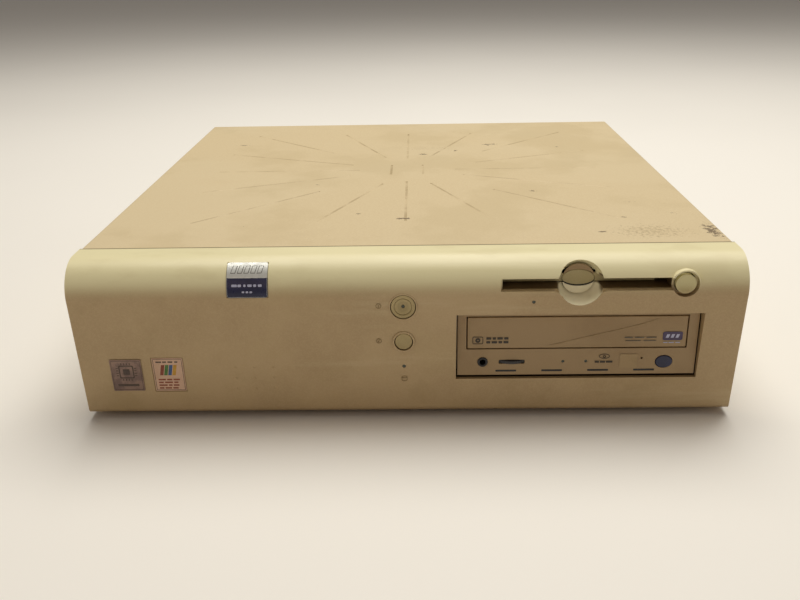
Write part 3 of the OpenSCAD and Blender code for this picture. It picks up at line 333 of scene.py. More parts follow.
def paint(finish, *names):
    """Assigns a material to the slots of CAD nodes whose shape is already right."""
    for name in names:
        thing = frame["nodes"][name]
        if not thing.material_slots:
            thing.data.materials.append(FINISHES[finish])
        for entry in thing.material_slots:
            entry.material = FINISHES[finish]


# ---------------------------------------------------------------- repeated parts

def wire(tree, kind, settings=None, inputs=None):
    """Adds one node, with its settings and its inputs; a socket is linked and anything else is its value."""
    item = tree.nodes.new(kind)
    for key, value in (settings or {}).items():
        setattr(item, key, value)
    for key, value in (inputs or {}).items():
        socket = item.inputs[key]
        if isinstance(value, bpy.types.NodeSocket):
            tree.links.new(value, socket)
        else:
            socket.default_value = value
    return item


def group(name, sizes):
    """An empty Geometry Nodes tree with these named inputs."""
    tree = bpy.data.node_groups.new(name, "GeometryNodeTree")
    tree.interface.new_socket("Geometry", in_out="INPUT", socket_type="NodeSocketGeometry")
    tree.interface.new_socket("Geometry", in_out="OUTPUT", socket_type="NodeSocketGeometry")
    for label, kind in sizes:
        tree.interface.new_socket(label, in_out="INPUT", socket_type="NodeSocket" + kind)
    return tree, tree.nodes.new("NodeGroupInput"), tree.nodes.new("NodeGroupOutput")


def close_group(tree, shape, source, output):
    """Ends a tree in real geometry with its material."""
    real = wire(tree, "GeometryNodeRealizeInstances", None, {"Geometry": shape})
    made = wire(tree, "GeometryNodeSetMaterial", None,
                {"Geometry": real.outputs["Geometry"], "Material": source.outputs["Finish"]})
    tree.links.new(made.outputs["Geometry"], output.inputs["Geometry"])
    return tree


def scatter_tree():
    """One part on every point, standing along the point's own 'facing' direction."""
    tree, source, output = group("Parts on points", (
        ("Part", "Object"), ("Size", "Float"), ("Wobble", "Float"), ("Seed", "Int"), ("Finish", "Material")))
    points = wire(tree, "GeometryNodeMeshToPoints", None, {"Mesh": source.outputs["Geometry"]})
    along = wire(tree, "GeometryNodeInputNamedAttribute", {"data_type": "FLOAT_VECTOR"}, {"Name": "facing"})
    turn = wire(tree, "FunctionNodeAlignRotationToVector", {"axis": "Z"},
                {"Vector": along.outputs["Attribute"]})
    part = wire(tree, "GeometryNodeObjectInfo", None, {"Object": source.outputs["Part"]})
    placed = wire(tree, "GeometryNodeInstanceOnPoints", None, {
        "Points": points.outputs["Points"], "Instance": part.outputs["Geometry"],
        "Rotation": turn.outputs["Rotation"], "Scale": source.outputs["Size"]})
    least = wire(tree, "ShaderNodeMath", MULTIPLY, {0: source.outputs["Wobble"], 1: -1.0})
    chance = wire(tree, "FunctionNodeRandomValue", {"data_type": "FLOAT"}, {
        2: least.outputs[0], 3: source.outputs["Wobble"], "Seed": source.outputs["Seed"]})
    angles = wire(tree, "ShaderNodeCombineXYZ", None, {"Z": chance.outputs[1]})
    turned = wire(tree, "GeometryNodeRotateInstances", None, {
        "Instances": placed.outputs["Instances"], "Rotation": angles.outputs["Vector"]})
    return close_group(tree, turned.outputs["Instances"], source, output)


def grid_tree():
    """Rows of one part: Count along Pitch, Rows along Row pitch, from Start."""
    tree, source, output = group("Rows of parts", (
        ("Part", "Object"), ("Start", "Vector"), ("Count", "Int"), ("Pitch", "Vector"),
        ("Rows", "Int"), ("Row pitch", "Vector"), ("Turn", "Rotation"), ("Finish", "Material")))
    line = wire(tree, "GeometryNodeMeshLine", None, {
        "Count": source.outputs["Count"], "Start Location": source.outputs["Start"],
        "Offset": source.outputs["Pitch"]})
    rows = wire(tree, "GeometryNodeMeshLine", None, {
        "Count": source.outputs["Rows"], "Offset": source.outputs["Row pitch"]})
    many = wire(tree, "GeometryNodeInstanceOnPoints", None, {
        "Points": rows.outputs["Mesh"], "Instance": line.outputs["Mesh"]})
    flat = wire(tree, "GeometryNodeRealizeInstances", None, {"Geometry": many.outputs["Instances"]})
    part = wire(tree, "GeometryNodeObjectInfo", None, {"Object": source.outputs["Part"]})
    placed = wire(tree, "GeometryNodeInstanceOnPoints", None, {
        "Points": flat.outputs["Geometry"], "Instance": part.outputs["Geometry"],
        "Rotation": source.outputs["Turn"]})
    return close_group(tree, placed.outputs["Instances"], source, output)


def wheel_tree():
    """One part repeated round an axis: Count parts at Radius, each turned to face outwards."""
    tree, source, output = group("Parts round an axis", (
        ("Part", "Object"), ("Count", "Int"), ("Radius", "Float"), ("Centre", "Vector"),
        ("Axis turn", "Rotation"), ("Finish", "Material")))
    ring = wire(tree, "GeometryNodeMeshCircle", None, {
        "Vertices": source.outputs["Count"], "Radius": source.outputs["Radius"]})
    where = wire(tree, "GeometryNodeInputPosition")
    turn = wire(tree, "FunctionNodeAlignRotationToVector", {"axis": "X"},
                {"Vector": where.outputs["Position"]})
    part = wire(tree, "GeometryNodeObjectInfo", None, {"Object": source.outputs["Part"]})
    placed = wire(tree, "GeometryNodeInstanceOnPoints", None, {
        "Points": ring.outputs["Mesh"], "Instance": part.outputs["Geometry"],
        "Rotation": turn.outputs["Rotation"]})
    moved = wire(tree, "GeometryNodeTransform", None, {
        "Geometry": placed.outputs["Instances"], "Translation": source.outputs["Centre"],
        "Rotation": source.outputs["Axis turn"]})
    return close_group(tree, moved.outputs["Geometry"], source, output)


def run_tree(name, tree, values, finish, body, data=None, smooth=35.0):
    """Runs a tree on an object, keeps what it makes as a plain mesh and puts it on its body."""
    thing = bpy.data.objects.new(name, data or bpy.data.meshes.new(name))
    bpy.context.scene.collection.objects.link(thing)
    modifier = thing.modifiers.new("Repeat", "NODES")
    modifier.node_group = tree
    for item in tree.interface.items_tree:
        if item.item_type == "SOCKET" and item.in_out == "INPUT" and item.name in values:
            modifier[item.identifier] = values[item.name]
        if item.item_type == "SOCKET" and item.name == "Finish":
            modifier[item.identifier] = FINISHES[finish]
    bake_modifiers(thing)
    if not thing.data.polygons:
        raise RuntimeError(name + " came out empty")
    return settle(thing, finish, body, 0.0, smooth)


def template(shapes):
    """The part that a tree repeats; it is removed once the pieces are made."""
    data = bpy.data.meshes.new("template")
    bmesh.ops.recalc_face_normals(shapes.mesh, faces=shapes.mesh.faces)
    shapes.mesh.to_mesh(data)
    shapes.mesh.free()
    thing = bpy.data.objects.new("template", data)
    bpy.context.scene.collection.objects.link(thing)
    return thing


def scattered(name, shapes, spots, finish, body, size=1.0, wobble=0.0, seed=1):
    """Copies of a part at (point, facing) spots, through the scatter tree."""
    part = template(shapes)
    data = bpy.data.meshes.new(name)
    data.from_pydata([tuple(spot) for spot, _ in spots], [], [])
    data.attributes.new("facing", "FLOAT_VECTOR", "POINT").data.foreach_set(
        "vector", [c for _, direction in spots for c in direction])
    tree = bpy.data.node_groups.get("Parts on points") or scatter_tree()
    made = run_tree(name, tree, {"Part": part, "Size": size, "Wobble": wobble, "Seed": seed},
                    finish, body, data)
    bpy.data.objects.remove(part)
    return made


def gridded(name, shapes, start, count, pitch, rows, row_pitch, finish, body, turn=(0, 0, 0)):
    """Rows of a part, through the grid tree; lengths in metres."""
    part = template(shapes)
    tree = bpy.data.node_groups.get("Rows of parts") or grid_tree()
    made = run_tree(name, tree, {"Part": part, "Start": tuple(start), "Count": count, "Pitch": tuple(pitch),
                                 "Rows": rows, "Row pitch": tuple(row_pitch), "Turn": turn}, finish, body)
    bpy.data.objects.remove(part)
    return made


def wheeled(name, shapes, count, radius, centre, finish, body, turn=(0, 0, 0)):
    """Copies of a part round an axis, through the wheel tree; lengths in metres."""
    part = template(shapes)
    tree = bpy.data.node_groups.get("Parts round an axis") or wheel_tree()
    made = run_tree(name, tree, {"Part": part, "Count": count, "Radius": radius, "Centre": tuple(centre),
                                 "Axis turn": turn}, finish, body)
    bpy.data.objects.remove(part)
    return made


# ---------------------------------------------------------------- finishes

SMOOTH = {"interpolation_type": "SMOOTHSTEP"}


def colour(code):
    """An sRGB hex value as linear red, green, blue and alpha."""
    parts = [int(code[i:i + 2], 16) / 255 for i in (1, 3, 5)]
    return tuple(c / 12.92 if c <= 0.04045 else ((c + 0.055) / 1.055) ** 2.4 for c in parts) + (1.0,)


def per_metre(millimetres):
    """Pattern scale for a feature of this size."""
    return 1000.0 / millimetres


def clouds(tree, where, size, span, out=(0.0, 1.0), detail=3.0, rough=0.6, stretch=(1.0, 1.0, 1.0), seed=0.0):
    """Cloudy pattern whose features are about size millimetres across, its span mapped onto out."""
    spot = wire(tree, "ShaderNodeVectorMath", MULTIPLY, {0: where, 1: stretch})
    cloud = wire(tree, "ShaderNodeTexNoise", {"noise_dimensions": "4D"}, {
        "Vector": spot.outputs[0], "W": seed, "Scale": per_metre(size), "Detail": detail, "Roughness": rough})
    level = wire(tree, "ShaderNodeMapRange", SMOOTH, {
        0: cloud.outputs[0], 1: span[0], 2: span[1], 3: out[0], 4: out[1]})
    return level.outputs[0]


def layer(tree, shown, code, cover, span=(0.0, 1.0), most=1.0):
    """Lays a colour over what shows, from none where cover is span[0] to most where it is span[1]."""
    level = wire(tree, "ShaderNodeMapRange", SMOOTH, {0: cover, 1: span[0], 2: span[1], 3: 0.0, 4: most})
    return wire(tree, "ShaderNodeMix", {"data_type": "RGBA"},
                {0: level.outputs[0], 6: shown, 7: colour(code)}).outputs[2]


def finish(name, tones, patch=70.0, grain=0.7, depth=0.02, rough=(0.4, 0.5), metal=0.0,
           stretch=(1.0, 1.0, 1.0), speck=0.25, overlay=None, bsdf=None):
    """A surface with slow colour drift, fine grain that also shows in relief, and uneven gloss.

    tones are the main colour, the one it drifts towards and the one in its grain; patch and grain are
    feature sizes and depth is the relief, in millimetres."""
    material = bpy.data.materials.new(name)
    material.use_nodes = True
    tree = material.node_tree
    tree.nodes.clear()
    where = wire(tree, "ShaderNodeTexCoord").outputs["Object"]
    drift = clouds(tree, where, patch, (0.38, 0.64), (0.0, 1.0), 4.0, 0.6, stretch)
    fine = clouds(tree, where, grain, (0.0, 1.0), (0.0, 1.0), 3.0, 0.6, stretch, 3.0)
    shown = layer(tree, colour(tones[0]), tones[1], drift)
    shown = layer(tree, shown, tones[2], fine, (0.38, 0.68), speck)
    gloss = wire(tree, "ShaderNodeMapRange", None, {0: drift, 3: rough[0], 4: rough[1]}).outputs[0]
    if overlay:
        shown, gloss, fine = overlay(tree, where, shown, gloss, fine)
    relief = wire(tree, "ShaderNodeBump", None, {"Height": fine, "Distance": depth * MM, "Strength": 1.0})
    shader = wire(tree, "ShaderNodeBsdfPrincipled", None, dict(
        {"Base Color": shown, "Roughness": gloss, "Normal": relief.outputs["Normal"], "Metallic": metal},
        **(bsdf or {})))
    wire(tree, "ShaderNodeOutputMaterial", None, {"Surface": shader.outputs["BSDF"]})
    return material


def height_fade(tree, where, low, high):
    """0 at low and 1 at high, in millimetres up the case."""
    parts = wire(tree, "ShaderNodeSeparateXYZ", None, {"Vector": where})
    return wire(tree, "ShaderNodeMapRange", SMOOTH, {0: parts.outputs["Z"], 1: low * MM,
                                                     2: high * MM}).outputs[0]


def marks(tree, where, spots, seed=0.0, ragged=5.0):
    """Ragged spots at (x, y, width, height, strength) in millimetres on a horizontal surface."""
    total = 0.0
    for x, y, width, height, strength in spots:
        centred = wire(tree, "ShaderNodeMapping", None, {
            "Vector": where, "Location": (-x * 2 / width, -y * 2 / height, 0.0),
            "Scale": (2 / (width * MM), 2 / (height * MM), 0.0)})
        far = wire(tree, "ShaderNodeVectorMath", {"operation": "LENGTH"}, {0: centred.outputs["Vector"]})
        near = wire(tree, "ShaderNodeMapRange", SMOOTH, {0: far.outputs["Value"], 1: 0.0, 2: 1.25,
                                                         3: strength, 4: 0.0})
        total = wire(tree, "ShaderNodeMath", MAXIMUM, {0: near.outputs[0], 1: total}).outputs[0]
    edge = clouds(tree, where, ragged, (0.0, 1.0), (0.0, 1.0), 4.0, 0.75, seed=seed)
    return wire(tree, "ShaderNodeMath", {"operation": "ADD"}, {0: total, 1: edge}).outputs[0]


def inside(tree, where, low, high, soft=0.5):
    """1 within a box given in millimetres from the nose, fading to 0 over soft millimetres outside it."""
    first, last = place(*low), place(*high)
    middle, half = (first + last) / 2, (last - first) / 2
    away = wire(tree, "ShaderNodeVectorMath", {"operation": "SUBTRACT"}, {0: where, 1: middle})
    size = wire(tree, "ShaderNodeVectorMath", {"operation": "ABSOLUTE"}, {0: away.outputs[0]})
    past = wire(tree, "ShaderNodeVectorMath", {"operation": "SUBTRACT"}, {0: size.outputs[0], 1: half})
    parts = wire(tree, "ShaderNodeSeparateXYZ", None, {"Vector": past.outputs[0]})
    wide = wire(tree, "ShaderNodeMath", MAXIMUM, {0: parts.outputs["X"], 1: parts.outputs["Y"]})
    worst = wire(tree, "ShaderNodeMath", MAXIMUM, {0: wide.outputs[0], 1: parts.outputs["Z"]})
    level = wire(tree, "ShaderNodeMapRange", SMOOTH, {0: worst.outputs[0], 1: 0.0, 2: soft * MM, 3: 1.0,
                                                      4: 0.0})
    return level.outputs[0]


def hood_wear_and_groove_shade(tree, where, shown, gloss, fine):
    """Years of things standing on it: brown rings and grit, thickest behind the middle and at one corner; the
    pressed grooves are darkened in patches, partly by dirt and partly as painted shade.
    """
    tide = clouds(tree, where, 110.0, (0.45, 0.62), detail=5.0, seed=21.0)
    shown = layer(tree, shown, "#C3B086", tide, most=0.35)
    corner = marks(tree, where, ((160, -160, 120, 70, 0.50), (20, 100, 150, 50, 0.42)), 12.0, 2.4)
    shown = layer(tree, shown, "#8F7A50", corner, (0.92, 1.10), 0.5)
    # The pressed grooves darkened in patches: partly dirt, partly painted shade of the grooves.
    grooves = inside(tree, where, (-190, 50, 107.4), (190, 425, 107.9), 0.06)
    patchy = clouds(tree, where, 26.0, (0.38, 0.60), (0.12, 0.85), seed=31.0)
    groove_dirt_and_shade = wire(tree, "ShaderNodeMath", MULTIPLY, {0: grooves, 1: patchy}).outputs[0]
    shown = layer(tree, shown, "#8E7749", groove_dirt_and_shade, most=0.5)
    stains = marks(tree, where, (
        (-156, 123, 26, 9, 0.50), (14, 75, 20, 9, 0.62), (43, 88, 12, 7, 0.60), (76, 113, 34, 17, 0.56),
        (137, 99, 6, 6, 0.62), (-33, -112, 7, 6, 0.60), (-2, -125, 22, 7, 0.66), (96, -56, 26, 22, 0.42),
        (150, -128, 12, 5, 0.55), (128, -160, 14, 6, 0.66), (200, -160, 22, 70, 0.60),
        (186, -120, 18, 16, 0.48),
        (160, -90, 30, 5, 0.46), (-70, -30, 9, 7, 0.44), (60, 20, 8, 5, 0.46), (-110, -140, 8, 5, 0.42)), 7.0,
        2.6)
    upper = height_fade(tree, where, 98.0, 107.0)
    stains = wire(tree, "ShaderNodeMath", MULTIPLY, {0: stains, 1: upper}).outputs[0]
    shown = layer(tree, shown, "#5A4630", stains, (0.96, 1.06), 0.85)
    dust = clouds(tree, where, 2.2, (0.645, 0.70), detail=5.0, rough=0.8, seed=11.0)
    shown = layer(tree, shown, "#A48E62", dust, most=0.8)
    return shown, gloss, fine


def face_wear_and_painted_light(tree, where, shown, gloss, fine):
    """Painted light and shade on the bezel: the nose painted paler and yellower where the light from above
    falls, the foot and the recesses darkened as painted shade, and painted highlights in the finger notch;
    cloudy patches darken the face below the nose.
    """
    nose = height_fade(tree, where, 83.0, 101.0)
    low = wire(tree, "ShaderNodeMath", {"operation": "SUBTRACT"}, {0: 1.0, 1: nose}).outputs[0]
    cloudy_darkening = clouds(tree, where, 45.0, (0.5, 0.7), detail=5.0, rough=0.65, seed=5.0)
    cloudy_darkening = wire(tree, "ShaderNodeMath", MULTIPLY, {0: cloudy_darkening, 1: low}).outputs[0]
    shown = layer(tree, shown, "#A08A5E", cloudy_darkening, most=0.3)
    streak = clouds(tree, where, 60.0, (0.55, 0.72), detail=5.0, rough=0.7, stretch=(0.25, 1.0, 2.5),
                    seed=15.0)
    shown = layer(tree, shown, "#D9CBA2", streak, most=0.2)
    # Painted light: the nose is made paler and yellower towards the top, as lit from above.
    shown = layer(tree, shown, "#E9E1B6", nose)
    bare = clouds(tree, where, 26.0, (0.50, 0.66), detail=4.0, rough=0.6, stretch=(0.5, 1.0, 1.0), seed=8.0)
    shown = layer(tree, shown, "#B9A574", bare, most=0.12)
    # Painted shade along the foot: the bezel darkens below 9 mm.
    shown = layer(tree, shown, "#7C5E40", height_fade(tree, where, 9.0, 4.0), most=0.3)
    # Box masks (colour, lowest corner, highest corner, softness, most): painted shade deep in the drive bay,
    # in the diskette slot either side of the notch, in the pocket behind the flap and along the seam under
    # the hood; painted light on the notch's lower bowl and a painted highlight along the slot's lower lip.
    for code, lowest, highest, soft, most in (
            ("#2A1F14", (31, 9.2, 27), (183, 40, 75), 0.7, 1.0), ("#6B5536", (56, 5.5, 88), (93.5, 40, 96.4),
                                                                  1.5, 1.0),
            ("#6B5536", (119, 5.5, 88), (163, 40, 96.4), 1.5, 1.0), ("#4A3A26", (95, 15.2, 84), (118, 40, 99),
                                                                     0.5, 1.0),
            ("#FFF9DC", (95, 4.2, 79), (117.5, 14.5, 89.6), 2.6, 0.95),
            ("#FFF9DC", (58.4, -1, 89.3), (160, 1.6, 90.9), 0.25, 0.8),
            ("#5A4C2E", (-206, 33.75, 99), (206, 36, 110), 0.5, 0.9)):
        shown = layer(tree, shown, code, inside(tree, where, lowest, highest, soft), most=most)
    return shown, gloss, fine


def cap_painted_light(tree, where, shown, gloss, fine):
    """Painted light and shade on the caps: the upper caps are painted paler towards the nose where the light
    from above falls, and the power cap's groove is darkened with painted shade.
    """
    shown = layer(tree, shown, "#CFC694", height_fade(tree, where, 84.0, 96.0))
    # Painted shade in the power cap's groove.
    groove = inside(tree, where, (-9, 1.3, 70), (7, 3.0, 90), 0.1)
    return layer(tree, shown, "#7A6842", groove, most=0.25), gloss, fine


def cable_ribs(tree, where, shown, gloss, fine):
    """The wires of a flat cable show as ribs, drawn 2.5 mm apart so that they show; the valleys between them
    are darkened as painted shade.
    """
    wires = wire(tree, "ShaderNodeTexWave", {"wave_type": "BANDS", "bands_direction": "DIAGONAL"}, {
        "Vector": where, "Scale": per_metre(2.5) * math.pi / 10, "Distortion": 0.0})
    shown = layer(tree, shown, "#6F6E69", wires.outputs["Fac"], (0.55, 0.05), 0.6)
    return shown, gloss, wires.outputs["Fac"]


def spangle(tree, where, shown, gloss, fine):
    """Zinc crystals 8 mm across, each a little lighter or darker than the next."""
    cells = wire(tree, "ShaderNodeTexVoronoi", {"feature": "F1"}, {"Vector": where, "Scale": per_metre(8.0)})
    level = wire(tree, "ShaderNodeSeparateColor", None, {"Color": cells.outputs["Color"]}).outputs["Red"]
    gloss = wire(tree, "ShaderNodeMapRange", None, {0: level, 3: 0.28, 4: 0.48}).outputs[0]
    return layer(tree, shown, "#8F9496", level, most=0.45), gloss, fine


def tracks(tree, where, shown, gloss, fine):
    """Copper tracks under the solder mask: a lighter green maze about 1 mm wide, with tinned holes."""
    either = 0.0
    for turn, seed in ((0.0, 0.0), (math.pi / 2, 4.0)):
        lane = wire(tree, "ShaderNodeMapping", None, {"Vector": where, "Rotation": (0.0, 0.0, turn)})
        band = wire(tree, "ShaderNodeTexWave", {"wave_type": "BANDS"}, {
            "Vector": lane.outputs["Vector"], "Scale": per_metre(9.0), "Distortion": 0.0})
        copper = wire(tree, "ShaderNodeMapRange", SMOOTH, {0: band.outputs["Fac"], 1: 0.6, 2: 0.66})
        where_on = clouds(tree, lane.outputs["Vector"], 14.0, (0.52, 0.54), (0.0, 1.0), 1.0, 0.3,
                          (1.0, 0.25, 1.0), seed)
        run = wire(tree, "ShaderNodeMath", MULTIPLY, {0: copper.outputs[0], 1: where_on})
        either = wire(tree, "ShaderNodeMath", MAXIMUM, {0: run.outputs[0], 1: either}).outputs[0]
    shown = layer(tree, shown, "#1F6540", either)
    holes = wire(tree, "ShaderNodeTexVoronoi", {"feature": "F1"}, {"Vector": where, "Scale": per_metre(6.0)})
    return layer(tree, shown, "#B8B6A8", holes.outputs["Distance"], (0.09, 0.07)), gloss, fine


def brushed(tree, where, shown, gloss, fine):
    """Fine drawn lines that catch the light along the sheet."""
    lines = clouds(tree, where, 1.0, (0.2, 0.8), (0.0, 1.0), 4.0, 0.7, (0.03, 1.0, 1.0), 9.0)
    gloss = wire(tree, "ShaderNodeMapRange", None, {0: lines, 3: 0.2, 4: 0.44}).outputs[0]
    return shown, gloss, lines


FINISHES = {}


def make_finishes(look):
    inks = {
        # Printed inks, a few hundredths of a millimetre thick
        "dark_ink": ("dark", "#3A3226 #433A2C #2E271D", (0.45, 0.6)),
        "brown_ink": ("brown", "#8A7448 #7E683F #9A8456", (0.45, 0.6)),
        "grey_ink": ("grey", "#5B5548 #524C40 #6A6456", (0.45, 0.6)),
        "violet_ink": ("violet", "#4A3E5E #413653 #574A6C", (0.4, 0.5)),
        "umber_ink": ("umber", "#4E4038 #453830 #5C4C42", (0.4, 0.5)),
        "red_ink": ("red brown", "#8F4A34 #823F2B #A05A42", (0.45, 0.6)),
        "blue_ink": ("blue", "#3C5B8C #34507E #4C6B9C", (0.45, 0.6)),
        "green_ink": ("green", "#4F7A3E #456E35 #5F8A4E", (0.45, 0.6)),
        "ochre_ink": ("ochre", "#C99A3A #BD8E30 #D5A84A", (0.45, 0.6)),
        "pale_ink": ("pale", "#B9BCD6 #AEB2CE #C8CBE0", (0.4, 0.5)),
    }
    recipes = {
        # Powder-coated steel: baked polyester powder, an even satin skin with a faint orange peel
        "hood_paint": ("powder coated steel", "#D8C6A0 #D2BF98 #E1D2AE", 160.0, 1.4, 0.03, (0.42, 0.52)),
        # Moulded ABS: spark-eroded mould grain, matt with a soft sheen; yellowed with age
        "bezel_plastic": ("aged moulded ABS", "#BAA178 #B19870 #C4AD84", 90.0, 0.9, 0.03, (0.33, 0.43)),
        # Moulded ABS, smoother tool: the caps and drive front, lighter and cleaner than the case
        "cap_plastic": ("smooth moulded ABS", "#B5A372 #AC9A6A #C2B182", 60.0, 0.6, 0.012, (0.32, 0.42)),
        # The drive maker's own ABS: browner than the case, fine satin, and darkened as painted shade of the
        # recessed bay
        "drive_plastic": ("satin drive front ABS", "#A28861 #9A805A #AD946C", 50.0, 0.5, 0.01, (0.34, 0.44)),
        # The same ABS, darker for lying in shade
        "flap_plastic": ("shaded drive flap ABS", "#B9AC7C #B0A273 #C4B88A", 30.0, 0.5, 0.01, (0.34, 0.44)),
        # A printed patch hardly lighter than the drive front
        "lit_patch": ("pale printed patch", "#A68D64 #9E865C #B0966E", 8.0, 0.4, 0.004, (0.4, 0.5)),
        # Hot-dip galvanised sheet: cool grey with crystal spangle
        "sheet_steel": ("galvanised sheet steel", "#A9ADAE #9CA1A3 #B5B9BA", 40.0, 0.8, 0.006, (0.3, 0.45),
                        1.0),
        # Nickel-plated wire and screws: bright, slightly warm mirror with hairlines
        "bright_steel": ("nickel plated steel", "#BDBDBC #B0B1B2 #CFCFCE", 15.0, 0.4, 0.004, (0.16, 0.3),
                         1.0),
        # Die-cast aluminium, black passivated: dark grain from the die
        "cast_alloy": ("die cast aluminium", "#4A4C50 #424448 #585A5E", 25.0, 0.5, 0.03, (0.42, 0.6), 0.8),
        # Extruded or pressed aluminium, bare: drawn lines along the part
        "bare_alloy": ("drawn aluminium", "#B9BBBE #AEB1B4 #C8CACC", 30.0, 0.5, 0.006, (0.22, 0.4), 1.0),
        # Sputtered disk surface: a true mirror with a faint warm tint
        "disk_mirror": ("sputtered disk surface", "#C9C7C2 #C2C0BC #D2D0CC", 60.0, 2.0, 0.0005, (0.04, 0.07),
                        1.0),
        # Moulded black nylon and ABS inside the machine
        "black_plastic": ("moulded black ABS", "#1B1B1D #151517 #2A2A2C", 20.0, 0.5, 0.015, (0.38, 0.55)),
        # Glass-filled grey nylon: flecked with short fibres
        "grey_plastic": ("glass filled nylon", "#3A3A3B #313132 #4E4E50", 20.0, 0.6, 0.015, (0.4, 0.55)),
        # Epoxy glass board under green solder mask
        "circuit_board": ("green solder mask", "#14532F #104628 #1C6239", 30.0, 0.5, 0.01, (0.26, 0.4)),
        # Phenolic paper board, unmasked: tan and slightly waxy
        "tan_board": ("phenolic paper board", "#A98550 #9A7745 #BD9A66", 24.0, 0.8, 0.01, (0.4, 0.55)),
        # Flat cable: extruded PVC over 1.27 mm spaced wires
        "ribbon_pvc": ("extruded grey PVC", "#A9A8A2 #9E9D97 #B6B5AF", 30.0, 0.5, 0.12, (0.36, 0.48)),
        # Hook-up wire bundle: glossy coloured PVC
        "wire_pvc": ("hook up wire PVC", "#B3892A #A27A22 #C79B3C", 12.0, 0.5, 0.01, (0.28, 0.4)),
        # Smoked acrylic light pipe
        "light_lens": ("smoked acrylic", "#2C3318 #232A13 #3C4522", 3.0, 0.3, 0.002, (0.12, 0.2)),
        # Dyed polystyrene, blue black and glossy
        "navy_plastic": ("navy polystyrene", "#1E2348 #181C3C #2A3058", 8.0, 0.4, 0.006, (0.24, 0.34)),
        # Metallised film sticker: grey violet sheen
        "label_foil": ("metallised film", "#8C7468 #74605A #A08A7C", 7.0, 0.5, 0.004, (0.3, 0.45), 0.55),
        # Coated label paper
        "label_paper": ("coated label paper", "#D4B196 #C9A68A #E0C0A8", 9.0, 0.5, 0.006, (0.42, 0.55)),
        # Uncoated white label paper
        "paper_white": ("white label paper", "#D9D6CC #CFCBC0 #E2DFD6", 14.0, 0.5, 0.006, (0.42, 0.55)),
        # Dyed nylon of switch and connector bodies
        "red_plastic": ("red moulded nylon", "#9A1A12 #86140E #B02A20", 8.0, 0.4, 0.008, (0.34, 0.45)),
        # Moulded rubber foot, dusty
        "foot_rubber": ("moulded rubber", "#1E1D1B #191816 #35332E", 10.0, 0.5, 0.02, (0.7, 0.85)),
        # Vacuum-metallised plastic: soft silver with a slight haze
        "badge_silver": ("metallised plastic", "#D4D6D2 #C6C8C5 #E2E4E0", 6.0, 0.4, 0.004, (0.34, 0.5), 0.55),
        # Gold flash over nickel on contacts
        "contact_gold": ("gold flash", "#C79A45 #B98C3A #D8AE5C", 4.0, 0.3, 0.002, (0.2, 0.32), 1.0),
        # Tinned legs of the chips
        "tinned": ("tinned copper", "#A8A9A6 #999A98 #BABBB8", 3.0, 0.3, 0.004, (0.3, 0.45), 1.0),
        # Heat-shrunk PVC round the capacitors
        "sleeve_blue": ("shrink sleeve", "#2B3F74 #243665 #3A4F86", 6.0, 0.3, 0.006, (0.3, 0.42)),
        # Undyed nylon of small bodies and latches
        "cream_plastic": ("cream moulded nylon", "#D8D2BC #CCC6B0 #E4DFCB", 8.0, 0.4, 0.008, (0.36, 0.48)),
        # Matt backdrop board, one colour all over
        "floor_paint": ("seamless pale board", (look.floor_hex + " ") * 3, 900.0, 3.0, 0.004, (0.6, 0.7)),
    }
    recipes.update({key: (word + " printing ink", tones, 5.0, 0.3, 0.002, rough)
                    for key, (word, tones, rough) in inks.items()})
    extras = {
        "hood_paint": {"overlay": hood_wear_and_groove_shade, "speck": 0.3},
        "bezel_plastic": {"overlay": face_wear_and_painted_light, "speck": 0.35},
        "cap_plastic": {"overlay": cap_painted_light},
        "sheet_steel": {"overlay": spangle},
        "bare_alloy": {"overlay": brushed},
        "grey_plastic": {"speck": 0.5},
        "circuit_board": {"overlay": tracks},
        "tan_board": {"stretch": (0.3, 1.0, 1.0)},
        "ribbon_pvc": {"overlay": cable_ribs},
        "light_lens": {"bsdf": {"Coat Weight": 0.5}},
        "floor_paint": {"speck": 0.05},
    }
    for key, (name, tones, *sizes) in recipes.items():
        FINISHES[key] = finish(name, tones.split(), *sizes, **extras.get(key, {}))


# ---------------------------------------------------------------- settings

class ComputerSettings(bpy.types.PropertyGroup):
    """Sizes and colours that may be changed before the pieces are built."""

    mould_radius: bpy.props.FloatProperty(
        name="Moulding corner radius", description="Rounding of the bezel's edges, in millimetres",
        default=0.55, min=0.1, max=1.0)
    sheet_radius: bpy.props.FloatProperty(
        name="Sheet corner radius", description="Rounding of the hood's edges, in millimetres",
        default=0.4, min=0.1, max=1.0)
    ink_height: bpy.props.FloatProperty(
        name="Ink height", description="Thickness of printed marks, in millimetres", default=0.03, min=0.01,
        max=0.1)
    floor_hex: bpy.props.StringProperty(
        name="Floor colour", description="sRGB colour of the floor", default="#F3F1EC")
    camera_place: bpy.props.FloatVectorProperty(
        name="Camera place", description="Where the camera stands", default=(0.0085, -0.7144, 0.2843),
        subtype="TRANSLATION", unit="LENGTH")
    camera_pitch: bpy.props.FloatProperty(
        name="Camera pitch", description="How far the camera looks down", default=math.radians(21.90),
        subtype="ANGLE", unit="ROTATION")
    camera_yaw: bpy.props.FloatProperty(
        name="Camera yaw", description="How far the camera looks to the right", default=math.radians(-1.298),
        subtype="ANGLE", unit="ROTATION")
    camera_roll: bpy.props.FloatProperty(
        name="Camera roll", description="How far the camera leans", default=math.radians(-1.05),
        subtype="ANGLE", unit="ROTATION")
    lens: bpy.props.FloatProperty(
        name="Lens", description="Focal length in millimetres on a 36 mm sensor", default=39.915)
    lamp_power: bpy.props.FloatProperty(
        name="Lamp power", description="Power of the overhead soft box", default=42.0, unit="POWER")


def settings():
    """The sizes and colours of the open scene."""
    return bpy.context.scene.computer


# ---------------------------------------------------------------- the pieces

